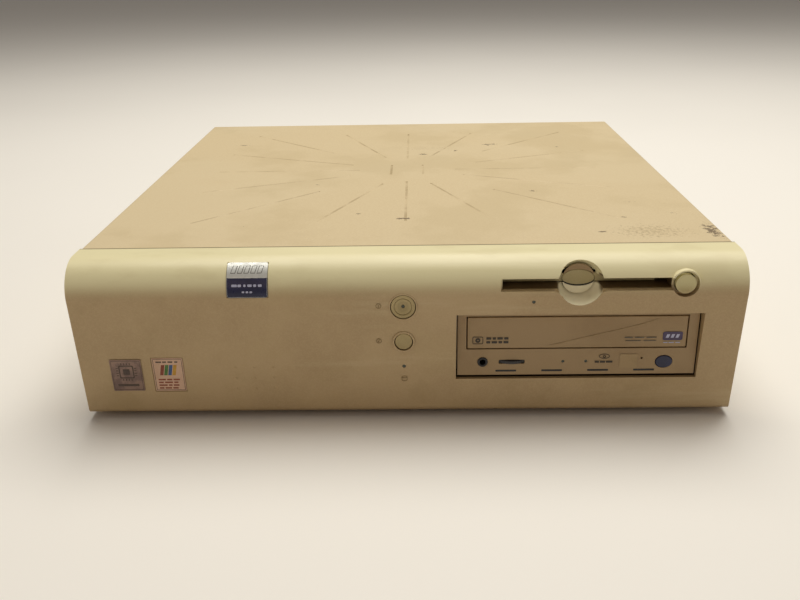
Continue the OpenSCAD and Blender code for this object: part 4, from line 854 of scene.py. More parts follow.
class COMPUTER_OT_finishes(bpy.types.Operator):
    """Makes the materials and gives them to the CAD parts whose shape is already right"""
    bl_idname = "computer.finishes"
    bl_label = "Finishes"

    def execute(self, context):
        make_finishes(settings())
        for name in frame["nodes"]:
            paint(SLOT_OF[name], name)
        paint("cream_plastic", "floppy_head")
        return {"FINISHED"}


class COMPUTER_OT_shell(bpy.types.Operator):
    """Rounds the moulded bezel and the folded steel hood, and closes the finger notch in the slot, with a
    painted shadow under the flap's lens
    """
    bl_idname = "computer.shell"
    bl_label = "Bezel and hood"

    def execute(self, context):
        look = settings()
        softened("front_bezel", look.mould_radius, "bezel_plastic")
        softened("top_cover", look.sheet_radius, "hood_paint")
        for name in ("release_left", "release_right"):
            softened(name, 0.4, "cap_plastic")
        softened("floppy_flap", 0.25, "flap_plastic")
        lens = Shapes(on_drive(*NOTCH, 14.1))
        lens.prism([(10.2 * math.cos(math.tau * i / 40),
                     (5.7 if i < 20 else 4.6) * math.sin(math.tau * i / 40))
                    for i in range(40)], -0.2, 0.25, 0.5)
        lens.piece("flap_lens", "flap_plastic", BODY_OF["floppy_flap"], "grey_plastic", 0.1, 30.0)
        # The roof liner wears the darker drive ABS as painted shade of the notch's upper bowl; the floor
        # liner takes the bezel's painted light.
        for name, side, reach, coat in (("notch_floor", -1, 4.9, "bezel_plastic"),
                                        ("notch_roof", 1, 6.0, "drive_plastic")):
            across = [9.4 * (i / 12 - 1) for i in range(25)]
            edge = [(x, side * 9.6 * math.sqrt(1 - (x / 9.9) ** 2)) for x in across]
            inner = [(x, side * reach * math.sqrt(1 - (x / 10.5) ** 2)) for x in reversed(across)]
            liner = Shapes(on_drive(*NOTCH, 13.6)).prism(edge + inner, -0.1, 0.35)
            liner.piece(name, coat, "chassis", "bezel_plastic")
        # A black strip along the lens's lower edge: painted shadow of the slit under the flap.
        slit_shadow = Shapes(on_drive(*NOTCH, 13.9))
        lower = [(x, -4.55 * math.sqrt(1 - (x / 10.25) ** 2)) for x in (-10.0 + i for i in range(21))]
        slit_shadow.prism(lower + [(x, z + 0.55) for x, z in reversed(lower)], -0.3, 0.12)
        slit_shadow.piece("flap_lip_seal", "black_plastic", BODY_OF["floppy_flap"], "grey_plastic")
        return {"FINISHED"}


class COMPUTER_OT_buttons(bpy.types.Operator):
    """The round caps, and the lenses of the lights"""
    bl_idname = "computer.buttons"
    bl_label = "Buttons"

    def execute(self, context):
        for name in ("power_button", "reset_button", "eject_button"):
            softened(name, 0.35, "cap_plastic")
        softened("power_light", 0.2, "light_lens")
        return {"FINISHED"}


class COMPUTER_OT_badge(bpy.types.Operator):
    """The maker's plate on the nose: a silver field with raised bars over a navy field"""
    bl_idname = "computer.badge"
    bl_label = "Badge"

    def execute(self, context):
        middle, half = -95.0, 12.5
        length = BADGE_ARC * NOSE_RADIUS
        split = 0.53 * length

        def bend(x, s, height):
            """A point s along the nose's curve and height above it."""
            angle = s / NOSE_RADIUS
            radius = NOSE_RADIUS + height
            return place(middle + x, NOSE_RADIUS - radius * math.cos(angle),
                         NOSE_Z + radius * math.sin(angle))

        def plate(low_s, high_s, low, high, width, round_low, round_high, name, coat, stands_for=()):
            """A thin sheet that follows the nose, with rounded corners at either end."""
            shapes = Shapes(bend=bend)
            rows = []
            steps = 24
            for i in range(steps + 1):
                s = low_s + (high_s - low_s) * i / steps
                inset = 0.0
                for end, radius in ((s - low_s, round_low), (high_s - s, round_high)):
                    if end < radius:
                        inset = max(inset, radius - math.sqrt(radius ** 2 - (radius - end) ** 2))
                edge = width - inset
                rows.append([shapes.point(-edge, s, low), shapes.point(edge, s, low),
                             shapes.point(edge, s, high), shapes.point(-edge, s, high)])
            return shapes.skin(rows).piece(name, coat, BODY_OF["badge"], "navy_plastic", 0.12, 50.0,
                                           stands_for)

        plate(0.05, split, -0.35, 0.30, half - 0.1, 1.6, 0.0, "badge_lower_field", "navy_plastic", ("badge",))
        plate(split, length - 0.05, -0.35, 0.30, half - 0.1, 0.0, 1.6, "badge_upper_field", "badge_silver")
        rim = Shapes(bend=bend)
        for x in (-half + 0.35, half - 0.35):
            path = [(x, 0.8 + (length - 1.6) * i / 20, 0.26) for i in range(21)]
            rim.tube(path, 0.12, 6)
        for s in (0.5, split, length - 0.5):
            rim.tube([(-half + 1.2 + (2 * half - 2.4) * i / 8, s, 0.26) for i in range(9)], 0.12, 6)
        rim.piece("badge_rim", "badge_silver", BODY_OF["badge"], "navy_plastic")

        def slanting_bars(width, tall, low, high):
            """Five leaning bars across the upper field, each following the nose."""
            shapes, steps = Shapes(bend=bend), 8
            for i in range(5):
                rows = []
                for k in range(steps + 1):
                    rise = tall * (k / steps - 0.5)
                    x, s = -8.0 + 4.0 * i + 0.26 * rise, (split + length) / 2 + rise
                    rows.append([shapes.point(x + side * width / 2, s, z)
                                 for side, z in ((-1, low), (1, low), (1, high), (-1, high))])
                shapes.skin(rows)
            return shapes

        bars = slanting_bars(2.3, 4.6, 0.2, 0.42)
        bars.piece("badge_raised_bars", "badge_silver", BODY_OF["badge"], "navy_plastic", 0.08, 30.0)
        # Dark ink a little wider than the raised bars: painted shadow round them.
        shadow = slanting_bars(2.9, 5.2, 0.2, 0.33)
        shadow.piece("badge_bar_outlines", "dark_ink", BODY_OF["badge"], "navy_plastic")
        print_bars = Shapes(bend=bend)
        for i, width in enumerate((3.4, 2.2, 1.4, 2.6, 1.8, 2.4)):
            print_bars.prism(rounded(width, 1.5, 0.4, -7.6 + 3.1 * i, split * 0.62, 2), 0.29, 0.34)
        for i in range(3):
            print_bars.prism(rounded(1.6, 1.1, 0.3, -2.4 + 2.4 * i, split * 0.3, 2), 0.29, 0.34)
        print_bars.piece("badge_pale_marks", "pale_ink", BODY_OF["badge"], "navy_plastic")
        return {"FINISHED"}


class COMPUTER_OT_labels(bpy.types.Operator):
    """The two stickers at the lower left: a film one with a chip, a paper one with coloured stripes"""
    bl_idname = "computer.labels"
    bl_label = "Stickers"

    def execute(self, context):
        thick = 0.3
        left, right = on_front(-176.8, 33.0), on_front(-150.2, 33.0)
        film = Shapes(left).prism(rounded(20, 23, 0.8), 0.0, thick)
        film.piece("label_left_film", "label_foil", "chassis", "label_foil", 0.08, 40.0, ("label_left",))
        ink = Shapes(left)
        top = thick + settings().ink_height
        ink.ring(rounded(18.6, 21.4, 0.8), rounded(18.0, 20.8, 0.6), thick + SUNK, top)
        ink.ring(rounded(9.5, 9.5, 1.0, 0, 2.6), rounded(7.9, 7.9, 0.6, 0, 2.6), thick + SUNK, top)
        ink.prism(rounded(4.2, 4.2, 0.5, 0, 2.6), thick + SUNK, top)
        for i in range(4):
            for sx, sy in ((1, 0), (-1, 0), (0, 1), (0, -1)):
                along = -2.7 + 1.8 * i
                spot = (sx * 5.8, 2.6 + along) if sx else (along, 2.6 + sy * 5.8)
                size = (1.5, 0.6) if sx else (0.6, 1.5)
                ink.prism(rounded(*size, 0, *spot), thick + SUNK, top)
        ink.prism(rounded(13.5, 1.7, 0.3, 0, -7.2), thick + SUNK, top)
        ink.piece("label_left_chip_mark", "umber_ink", "chassis", "label_foil")

        sink = -0.6
        paper = Shapes(right).prism(rounded(19.6, 24.2, 0.8), sink, sink + thick)
        paper.piece("label_right_paper", "label_paper", "chassis", "label_paper", 0.06, 40.0,
                    ("label_right",))
        low, top = sink + thick + SUNK, sink + thick + settings().ink_height
        lines = Shapes(right)
        lines.ring(rounded(18.4, 23.0, 0.6), rounded(17.8, 22.4, 0.4), low, top)
        for i, width in enumerate((3.6, 2.4, 3.0, 2.0)):
            lines.prism(rounded(width, 1.0, 0, -5.6 + 3.7 * i, 9.3), low, top)
        lines.piece("label_right_heading", "umber_ink", "chassis", "label_paper")
        rows = Shapes(right)
        for row, widths in enumerate(((4.6, 3.2, 4.0), (3.0, 5.0, 2.6), (5.2, 2.2, 3.6), (2.8, 4.0, 3.4))):
            rows.bars(widths, 1.1, 0, -7.2, -3.6 - 2.1 * row, low, top)
        rows.piece("label_right_lines", "red_ink", "chassis", "label_paper")
        for i, ink_name in enumerate(("red_ink", "green_ink", "blue_ink", "ochre_ink")):
            stripe = Shapes(right).prism(slanted(2.2, 7.6, 1.6, -3.9 + 2.6 * i, 3.4), low, top)
            stripe.piece("label_right_stripe_%d" % (i + 1), ink_name, "chassis", "label_paper")
        return {"FINISHED"}


class COMPUTER_OT_symbols(bpy.types.Operator):
    """The small printed symbols beside the buttons and the disk light"""
    bl_idname = "computer.symbols"
    bl_label = "Symbols"

    def execute(self, context):
        high = settings().ink_height
        for name, x, z in (("power_symbol", -16.0, 80.6), ("reset_symbol", -16.3, 56.3)):
            mark = Shapes(on_front(x, z))
            mark.ring(circle(1.7, steps=28), circle(1.35, steps=28), SUNK, high)
            if name == "power_symbol":
                mark.prism(rounded(0.4, 1.5, 0.15, 0, 0, 2), SUNK, high)
            else:
                mark.prism(slanted(0.5, 1.4, 0.5), SUNK, high)
            mark.piece(name, "brown_ink", "chassis", "bezel_plastic")
        disk = Shapes(on_front(-0.9, 29.0))
        disk.ring(circle(1.8, 0, 1.1, 28, 0.45), circle(1.45, 0, 1.1, 28, 0.36), SUNK, high)
        for x in (-1.65, 1.65):
            disk.prism(rounded(0.32, 2.2, 0, x, 0.0), SUNK, high)
        arc = [(1.8 * math.cos(math.pi * (1 + i / 12)), -1.1 + 0.8 * math.sin(math.pi * (1 + i / 12)))
               for i in range(13)]
        inner = [(x * 0.82, y + 0.3) for x, y in reversed(arc)]
        disk.prism(arc + inner, SUNK, high)
        disk.piece("disk_symbol", "brown_ink", "chassis", "bezel_plastic")
        return {"FINISHED"}


class COMPUTER_OT_disc_drive(bpy.types.Operator):
    """The disc drive's front: tray door, controls, its printed marks and painted shadows in its openings"""
    bl_idname = "computer.disc_drive"
    bl_label = "Disc drive"

    def execute(self, context):
        softened("optical_bezel", 0.25, "drive_plastic")
        softened("tray_door", 0.5, "drive_plastic")
        softened("optical_eject", 0.45, "navy_plastic")
        high = settings().ink_height
        door = on_drive(0, 0, 7.4)
        marks_ink = Shapes(door)
        marks_ink.ring(rounded(6.6, 5.0, 0.8, 45.1, 54.0), rounded(5.8, 4.2, 0.5, 45.1, 54.0), SUNK, high)
        marks_ink.ring(circle(1.6, 45.1, 54.0, 24), circle(0.5, 45.1, 54.0, 24), SUNK, high)
        for z, widths in ((55.3, (3.0, 2.0, 3.4, 2.6)), (52.7, (2.4, 3.4, 2.2, 3.0))):
            marks_ink.bars(widths, 1.5, 0.2, 50.4, z, SUNK, high, 2)
        marks_ink.piece("tray_door_left_print", "dark_ink", "disc_tray", "cap_plastic")
        thin = Shapes(door)
        for x, width, z, tall in ((138.6, 5.0, 55.2, 0.7), (145.2, 5.8, 55.2, 0.7), (152.6, 6.2, 55.2, 0.7),
                                  (141.4, 9.5, 53.0, 0.5), (151.8, 7.6, 53.0, 0.5)):
            thin.prism(slanted(width, tall, 0.5, x, z), SUNK, high)
        thin.piece("tray_door_right_print", "grey_ink", "disc_tray", "cap_plastic")
        patch = Shapes(door).prism(rounded(12.2, 5.8, 1.2, 165.6, 56.0), SUNK, high)
        patch.piece("tray_door_violet_patch", "violet_ink", "disc_tray", "cap_plastic")
        dash = Shapes(door)
        for x in (162.6, 165.6, 168.6):
            dash.prism(slanted(1.8, 2.4, 0.8, x, 56.0), high - 0.02, high + 0.02)
        for x, width in ((161.4, 2.6), (165.0, 3.2), (169.0, 2.8)):
            dash.prism(rounded(width, 0.6, 0, x, 51.6), SUNK, high)
        dash.piece("tray_door_pale_marks", "pale_ink", "disc_tray", "cap_plastic")

        front = on_drive(0, 0)
        lower = Shapes(front)
        lower.ring(circle(3.4, 124.4, 42.4, 30, 0.5), circle(3.0, 124.4, 42.4, 30, 0.44), SUNK, high)
        lower.ring(circle(1.0, 124.4, 42.2, 20), circle(0.5, 124.4, 42.2, 20), SUNK, high)
        for x, width in ((119.9, 2.6), (123.4, 3.2), (127.6, 4.0)):
            lower.prism(rounded(width, 1.3, 0.2, x, 38.6, 2), SUNK, high)
        lower.piece("drive_front_print", "dark_ink", BODY_OF["optical_bezel"], "cap_plastic")
        faint = Shapes(front).prism(rounded(11, 9.6, 0.6, 139.5, 39), SUNK, high)
        faint.piece("drive_front_patch", "lit_patch", BODY_OF["optical_bezel"], "cap_plastic")
        # Black prisms just behind the drive front's slots and opening: painted shadow inside them.
        shades = Shapes(front)
        for i in range(4):
            shades.prism(rounded(13.1, 1.3, 0.4, 63.1 + 28.85 * i, 32.8), -1.6, -0.35)
        shades.prism(rounded(15.6, 2.0, 0.6, 66.6, 39.0), -1.9, -0.9)
        shades.piece("drive_front_shades", "black_plastic", BODY_OF["optical_bezel"], "black_plastic")
        crease = Shapes(door)
        steps = [i / 24 for i in range(25)]
        line = [(90 + 66 * t, 50.2 + 17.6 * t ** 1.25 + 0.7 * math.sin(5 * t)) for t in steps]
        crease.prism(line + [(x - 0.25, z + 0.42) for x, z in reversed(line)], SUNK, high)
        crease.piece("tray_door_scratch", "lit_patch", "disc_tray", "cap_plastic")

        ring = Shapes(on_drive(48.3, 39.0, 7.3)).lathe(
            ((1.8, -2.0), (1.9, 0.05), (2.2, 0.28), (2.9, 0.28), (3.2, 0.0), (3.2, -2.0), (1.8, -2.0)))
        ring.piece("headphone_socket_collar", "black_plastic", BODY_OF["headphone_jack"], "black_plastic")
        tooth = Shapes(LOOSE).prism(rounded(0.5, 0.8, 0.0), -0.85, 0.85)
        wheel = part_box("volume_wheel")
        centre = (wheel[0] + wheel[1]) / 2
        wheeled("volume_wheel_ridges", tooth, 60, 11.0 * MM, centre, "grey_plastic",
                BODY_OF["volume_wheel"])
        return {"FINISHED"}


def screw_head(radius):
    """A pan head with a cross recess, standing on its local z axis."""
    steps = 24
    arm, slot = 0.58 * radius, 0.58 * radius * math.tan(math.pi / 12)
    shapes = Shapes(LOOSE)

    def row(reach, z):
        """A round loop of corners."""
        return [shapes.point(reach * math.cos(math.tau * i / steps), reach * math.sin(math.tau * i / steps),
                             z)
                for i in range(steps)]

    def cross(z):
        """A loop of corners round the recess."""
        points = []
        for i in range(steps):
            c, s = (max(abs(f(math.tau * i / steps)), 1e-6) for f in (math.cos, math.sin))
            reach = max(min(arm / c, slot / s), min(slot / c, arm / s))
            points.append(shapes.point(reach * math.cos(math.tau * i / steps),
                                       reach * math.sin(math.tau * i / steps), z))
        return points

    rows = [row(radius, 0.0), row(radius, 1.1), row(0.94 * radius, 1.55), row(0.75 * radius, 1.9), cross(2.0),
            cross(0.9)]
    shapes.skin(rows, False)
    for line, z in ((rows[0], 0.0), (rows[-1], 0.9)):
        middle = shapes.point(0, 0, z)
        for i in range(steps):
            shapes.mesh.faces.new((line[i], line[(i + 1) % steps], middle))
    return shapes


class COMPUTER_OT_screws(bpy.types.Operator):
    """Cross-recess heads on every screw of the case, drives and boards"""
    bl_idname = "computer.screws"
    bl_label = "Screws"

    def execute(self, context):
        spots = [(place(19.5, 429, z), BACK) for z in SLOT_ROWS]
        spots += [(place(x, 428, z), BACK) for x, z in ((64, 84), (192, 14))]
        spots += [(place(x, y, BOARD_TOP), UP) for x in (-188, -76, 36) for y in (218, 406)]
        spots += [(place(x, y, 40), way) for x, way in ((32.75, LEFT), (180.75, RIGHT)) for y in (60, 140)]
        made = scattered("screw_heads_large", screw_head(3.0), spots, "bright_steel", "chassis")
        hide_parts("screws")
        spots = [(place(x, y, 90.1), way) for x, way in ((54.4, LEFT), (157.0, RIGHT)) for y in (80, 140)]
        scattered("screw_heads_small", screw_head(2.4), spots, "bright_steel", "chassis")
        return {"FINISHED"}


def legs(packages, z):
    """Where legs stand round flat packages (x, y, width, depth); oblong ones have none at their ends."""
    spots = []
    for x, y, width, depth in packages:
        for side, across in ((RIGHT, depth), (LEFT, depth), (BACK, width), (FRONT, width)):
            if width != depth and side[0]:
                continue
            count = int((across - 2) / LEG_PITCH)
            out = (width if side[0] else depth) / 2 - 0.2
            for i in range(count):
                along = (i - (count - 1) / 2) * LEG_PITCH
                spots.append((place(x + side[0] * out + abs(side[1]) * along,
                                    y + side[1] * out + abs(side[0]) * along, z), side))
    return spots


class COMPUTER_OT_main_board(bpy.types.Operator):
    """Legs, small parts, sleeves and print on the main board, its modules and the card"""
    bl_idname = "computer.main_board"
    bl_label = "Main board"

    def execute(self, context):
        body = "chassis"
        chips = ((-100, 300, 27), (-122, 345, 24), (-118, 392, 20), (-40, 320, 28), (0, 372, 24))
        packages = [(x, y, size, size) for x, y, size in chips] + [(-57 + 20 * i, 268, 14,
                                                                    8) for i in range(4)]
        pin = Shapes(LOOSE).prism(rounded(0.6, 0.6), 0.0, 1.5)
        scattered("chip_pins", pin, legs(packages, BOARD_TOP + 0.5), "tinned", body)

        ink = Shapes(on_top(0, 0, BOARD_TOP + 3))
        for x, y, size in chips:
            ink.prism(circle(1.0, x - size * 0.38, y - size * 0.38, 16), SUNK, 0.03)
            for row, share in enumerate((0.5, 0.38, 0.44)):
                ink.prism(rounded(size * share, 1.3, 0.3, x, y + 3 - 3 * row, 2), SUNK, 0.03)
        ink.piece("chip_print", "grey_ink", body, "black_plastic")

        taken = [(x - w / 2 - 3, y - d / 2 - 3, x + w / 2 + 3, y + d / 2 + 3) for x, y, w, d in packages]
        taken += [(-176, 244, -114, 400), (-104, 218, 46, 262), (13, 262, 46, 400), (-196, 318, -172, 342),
                  (-196, 250, -176, 300), (-146, 232, -108, 248), (-190, 205, -115, 216), (-40, 205, 16, 216),
                  (-90, 205, -38, 216)]
        chance = random.Random(11)
        lying, standing = [], []
        while len(lying) + len(standing) < 150:
            x, y = chance.uniform(-190, 10), chance.uniform(212, 408)
            if any(a < x < c and b < y < d for a, b, c, d in taken):
                continue
            taken.append((x - 3.2, y - 3.2, x + 3.2, y + 3.2))
            (lying if chance.random() < 0.6 else standing).append((place(round(x), round(y), BOARD_TOP - 0.1),
                                                                   UP))
        for name, spots, size in (("small_parts_lying", lying, (2.6, 1.4)), ("small_parts_standing", standing,
                                                                             (1.4, 2.6))):
            scattered(name, Shapes(LOOSE).prism(rounded(*size, 0.2, steps=1), 0.0, 1.0, 0.15), spots,
                      "cream_plastic", body)

        for x, y, radius, high in ([(-186, 262 + 14 * i, 5, 12) for i in range(3)]
                                   + [(-138 + 11 * i, 240, 4, 11) for i in range(3)]):
            name = "capacitor_%d_%d_" % (-x, y)
            sleeve = Shapes(on_top(x, y, BOARD_TOP)).lathe(
                ((radius + 0.02, 0.3), (radius + 0.25, 0.3), (radius + 0.25, 1.6), (radius + 0.1, 1.9),
                 (radius + 0.25, 2.2),
                 (radius + 0.25, high - 0.6), (radius - 0.2, high + 0.15), (radius - 0.9, high + 0.15),
                 (radius - 0.9, high + 0.02), (radius + 0.02, high - 0.8), (radius + 0.02, 0.3)), steps=28)
            sleeve.piece(name + "sleeve", "sleeve_blue", body, "black_plastic")
            top = Shapes(on_top(x, y, BOARD_TOP + high)).lathe(
                ((0.0, -0.3), (radius - 0.9, -0.3), (radius - 0.9, 0.08), (0.0, 0.08)), steps=28)
            top.piece(name + "top", "bare_alloy", body, "black_plastic")
        cell = Shapes(on_top(-184, 330, BOARD_TOP + 3.4)).lathe(
            ((0.0, -0.5), (9.4, -0.5), (9.4, 0.1), (9.0, 0.35), (0.0, 0.35)), steps=40)
        cell.piece("clock_cell", "bright_steel", body, "black_plastic", 0.1)
        clip = Shapes(on_top(-184, 330, BOARD_TOP + 3.8)).prism(rounded(3.6, 21, 0.4, 0, 0), 0.0, 0.4)
        clip.prism(rounded(3.6, 0.6, 0, 0, 10.5), -3.6, 0.4)
        clip.piece("clock_cell_clip", "bright_steel", body, "black_plastic", 0.08)

        for y, name in ((226, "front"), (236, "back")):
            for side, way in ((-1, "a"), (1, "b")):
                contact = Shapes(LOOSE).prism(rounded(0.9, 0.12), -1.9, 1.9)
                gridded("memory_%s_contacts_%s" % (name, way), contact, place(-94, y + side * 0.66, 23.4), 84,
                        (1.4 * MM, 0, 0), 1, (0, 0, 0), "contact_gold", body)
        for y in (226, 236, 246):
            for x in (-101.2, 27.2):
                latch = Shapes(on_top(x, y, 0)).prism(rounded(2.4, 4.6, 0.8), BOARD_TOP, BOARD_TOP + 15, 0.4)
                latch.piece("memory_latch_%d_%s" % (y, "left" if x < 0 else "right"), "cream_plastic", body,
                            "black_plastic", 0.3)

        side = facing(place(-166.5, 320, 56), (0, 1, 0), (0, 0, 1)) @ Matrix.Rotation(math.pi, 4, "Y")
        sticker = Shapes(side).prism(rounded(96, 22, 1.2), 0.0, 0.12)
        sticker.piece("processor_label", "label_foil", body, "black_plastic")
        lines = Shapes(side)
        for row, width in enumerate((52, 34, 44)):
            lines.prism(rounded(width, 2.2, 0.4, -14 + row * 2, 6 - 6 * row, 2), 0.1, 0.16)
        for i in range(26):
            lines.prism(rounded(0.5 + 0.5 * (i * 7 % 3), 8, 0, 22 + 0.9 * i - 6, -3), 0.1, 0.16)
        lines.piece("processor_label_print", "dark_ink", body, "black_plastic")

        for z in SLOT_ROWS:
            strip = Shapes(LOOSE).prism(rounded(0.5, 0.9), -0.2, 0.35)
            gridded("riser_slot_%d_contacts" % z, strip, place(15.4, 296, z), 50, (0, 1.27 * MM, 0), 1,
                    (0, 0, 0),
                    "contact_gold", body, (0, -math.pi / 2, 0))
        bracket = Shapes(on_rear(-40, 64)).prism(rounded(127.8, 17.8, 0.8), 0.02, 1.08)
        bracket.piece("card_bracket", "bright_steel", body, "circuit_board", 0.15)
        cover = Shapes(on_top(0, 0, CARD_TOP))
        card_chips = ((-60, 330, 26), (-20, 320, 20), (-60, 380, 14))
        for x, y, size in card_chips:
            cover.prism(rounded(size + 0.1, size + 0.1, 0.4, x, y, 2), 0.1, 3.08)
        cover.piece("card_chips", "black_plastic", body, "circuit_board", 0.12)
        for i in range(3):
            can = Shapes(on_top(-36 + 12 * i, 396, CARD_TOP)).lathe(
                ((0.0, 0.2), (3.1, 0.2), (3.1, 1.0), (2.95, 1.3), (3.1, 1.6), (3.1, 6.6), (2.7, 7.1),
                 (0.0, 7.1)), steps=24)
            can.piece("card_capacitor_%d" % (i + 1), "bare_alloy", body, "circuit_board")
        for y, name in ((226, "front"), (236, "back")):
            memory = Shapes(on_drive(0, 0, y))
            for i in range(8):
                memory.prism(rounded(10.1, 16.1, 0.3, -86 + 14 * i, 32.6, 2), 0.6, 1.98)
            memory.piece("memory_chips_" + name, "black_plastic", body, "circuit_board", 0.1)
        sockets = Shapes(facing(place(22, 328, 0), (0, 1, 0), (0, 0, 1)))
        for z in SLOT_ROWS:
            sockets.ring(rounded(88.2, 9.2, 0.5, 0, z), rounded(84.0, 1.9, 0.3, 0, z), -13.08, -6.2)
            sockets.prism(rounded(88.2, 9.2, 0.5, 0, z), -6.2, -0.78)
        sockets.piece("riser_sockets", "black_plastic", body, "circuit_board", 0.12)
        lead = Shapes(LOOSE).prism(rounded(0.6, 0.6), 0.0, 1.4)
        spots = legs([(x, y, size, size) for x, y, size in card_chips], CARD_TOP + 0.6)
        scattered("card_chip_pins", lead, spots, "tinned", body)
        return {"FINISHED"}


class COMPUTER_OT_cables(bpy.types.Operator):
    """Single coloured wires over the power harness, and the marked edge of a flat cable"""
    bl_idname = "computer.cables"
    bl_label = "Cables"

    def execute(self, context):
        body, high = BODY_OF["power_harness"], 50.0
        inks = ("wire_pvc", "red_plastic", "black_plastic", "wire_pvc", "cream_plastic", "red_plastic")
        for i, coat in enumerate(inks):
            angle = math.tau * i / len(inks)
            dx, dz = 3.35 * math.cos(angle), 3.35 * math.sin(angle)
            run = [(62, 250 + dx, high + dz), (50, 250 + dx, high + dz)]
            for step in range(7):
                turn = math.pi / 2 * step / 6
                run.append((43 - (8 + dz) * math.sin(turn), 250 + dx, high - 8 + (8 + dz) * math.cos(turn)))
            run.append((35 - dz, 250 + dx, 30.6))
            bundle = Shapes().tube(run, 0.95, 8)
            bundle.tube([(154 + dx, 247, 40 + dz), (154 + dx, 231, 40 + dz), (154 + dx, 216, 40 + dz)], 0.95,
                        8)
            bundle.piece("harness_wire_%d" % (i + 1), coat, body, "wire_pvc")
        for i, coat in enumerate(("wire_pvc", "black_plastic", "black_plastic", "red_plastic")):
            wires = Shapes().tube([(148.2 + 1.2 * i, 246, 87.0), (148.2 + 1.2 * i, 215, 86.9),
                                   (148.2 + 1.2 * i, 178, 87.0)], 0.6, 8)
            wires.piece("diskette_power_wire_%d" % (i + 1), coat, body, "wire_pvc")
        stripe = Shapes(on_drive(-12 + 24.4, 34, 208.9 + 0.35))
        stripe.prism(rounded(1.0, 10.0, 0), -0.05, 0.12)
        stripe.piece("flat_cable_edge", "red_ink", BODY_OF["ribbon_cables"], "ribbon_pvc")
        return {"FINISHED"}


class COMPUTER_OT_drive_labels(bpy.types.Operator):
    """Plain labels with generic bars on the drives, the power supply and the back"""
    bl_idname = "computer.drive_labels"
    bl_label = "Drive labels"

    def execute(self, context):
        spots = (
            ("diskette_drive_label", on_top(106, 110, 103.5), 70, 40, "floppy_case"),
            ("hard_disk_label", on_top(-147.2, 128, 35.0), 66, 74, "disk_lid"),
            ("power_supply_label", on_top(128, 330, 92.0), 104, 84, "power_case"),
        )
        for name, where, width, deep, node in spots:
            paper = Shapes(where).prism(rounded(width, deep, 1.0), SUNK, 0.1)
            paper.piece(name, "paper_white", BODY_OF[node], SLOT_OF[node])
            ink = Shapes(where)
            ink.ring(rounded(width - 2.4, deep - 2.4, 0.8), rounded(width - 3.4, deep - 3.4, 0.6), 0.08, 0.14)
            rows = max(1, int((deep - 8) / 6))
            for row in range(rows):
                y = deep / 2 - 7 - 6 * row
                x = -width / 2 + 5
                for k in range(5):
                    length = 4 + (row * 5 + k * 7) % 9
                    if x + length > width / 2 - 4 or (row > rows / 2 and k > 2):
                        break
                    ink.prism(rounded(length, 1.8, 0.3, x + length / 2, y, 2), 0.08, 0.14)
                    x += length + 2
            if deep > 30:
                for i in range(24):
                    thick = 0.4 + 0.35 * (i * 5 % 4)
                    ink.prism(rounded(thick, deep * 0.16, 0, width * 0.06 + 1.6 * i * width / 104,
                                      -deep * 0.34), 0.08, 0.14)
            ink.piece(name + "_print", "dark_ink", BODY_OF[node], SLOT_OF[node])
        spots = [(place(x, y, 34.0), UP) for x in (-194.5, -99.9) for y in (54, 122, 189)]
        scattered("hard_disk_screws", screw_head(1.9), spots, "bright_steel", BODY_OF["disk_lid"],
                  0.8)
        hub = Shapes(on_rear(100, 49, 422.0)).lathe(((0.0, -0.3), (13.5, -0.3), (13.5, 0.12), (0.0, 0.12)),
                                                    steps=40)
        hub.piece("fan_hub_label", "paper_white", BODY_OF["fan_rotor"], "black_plastic")
        return {"FINISHED"}


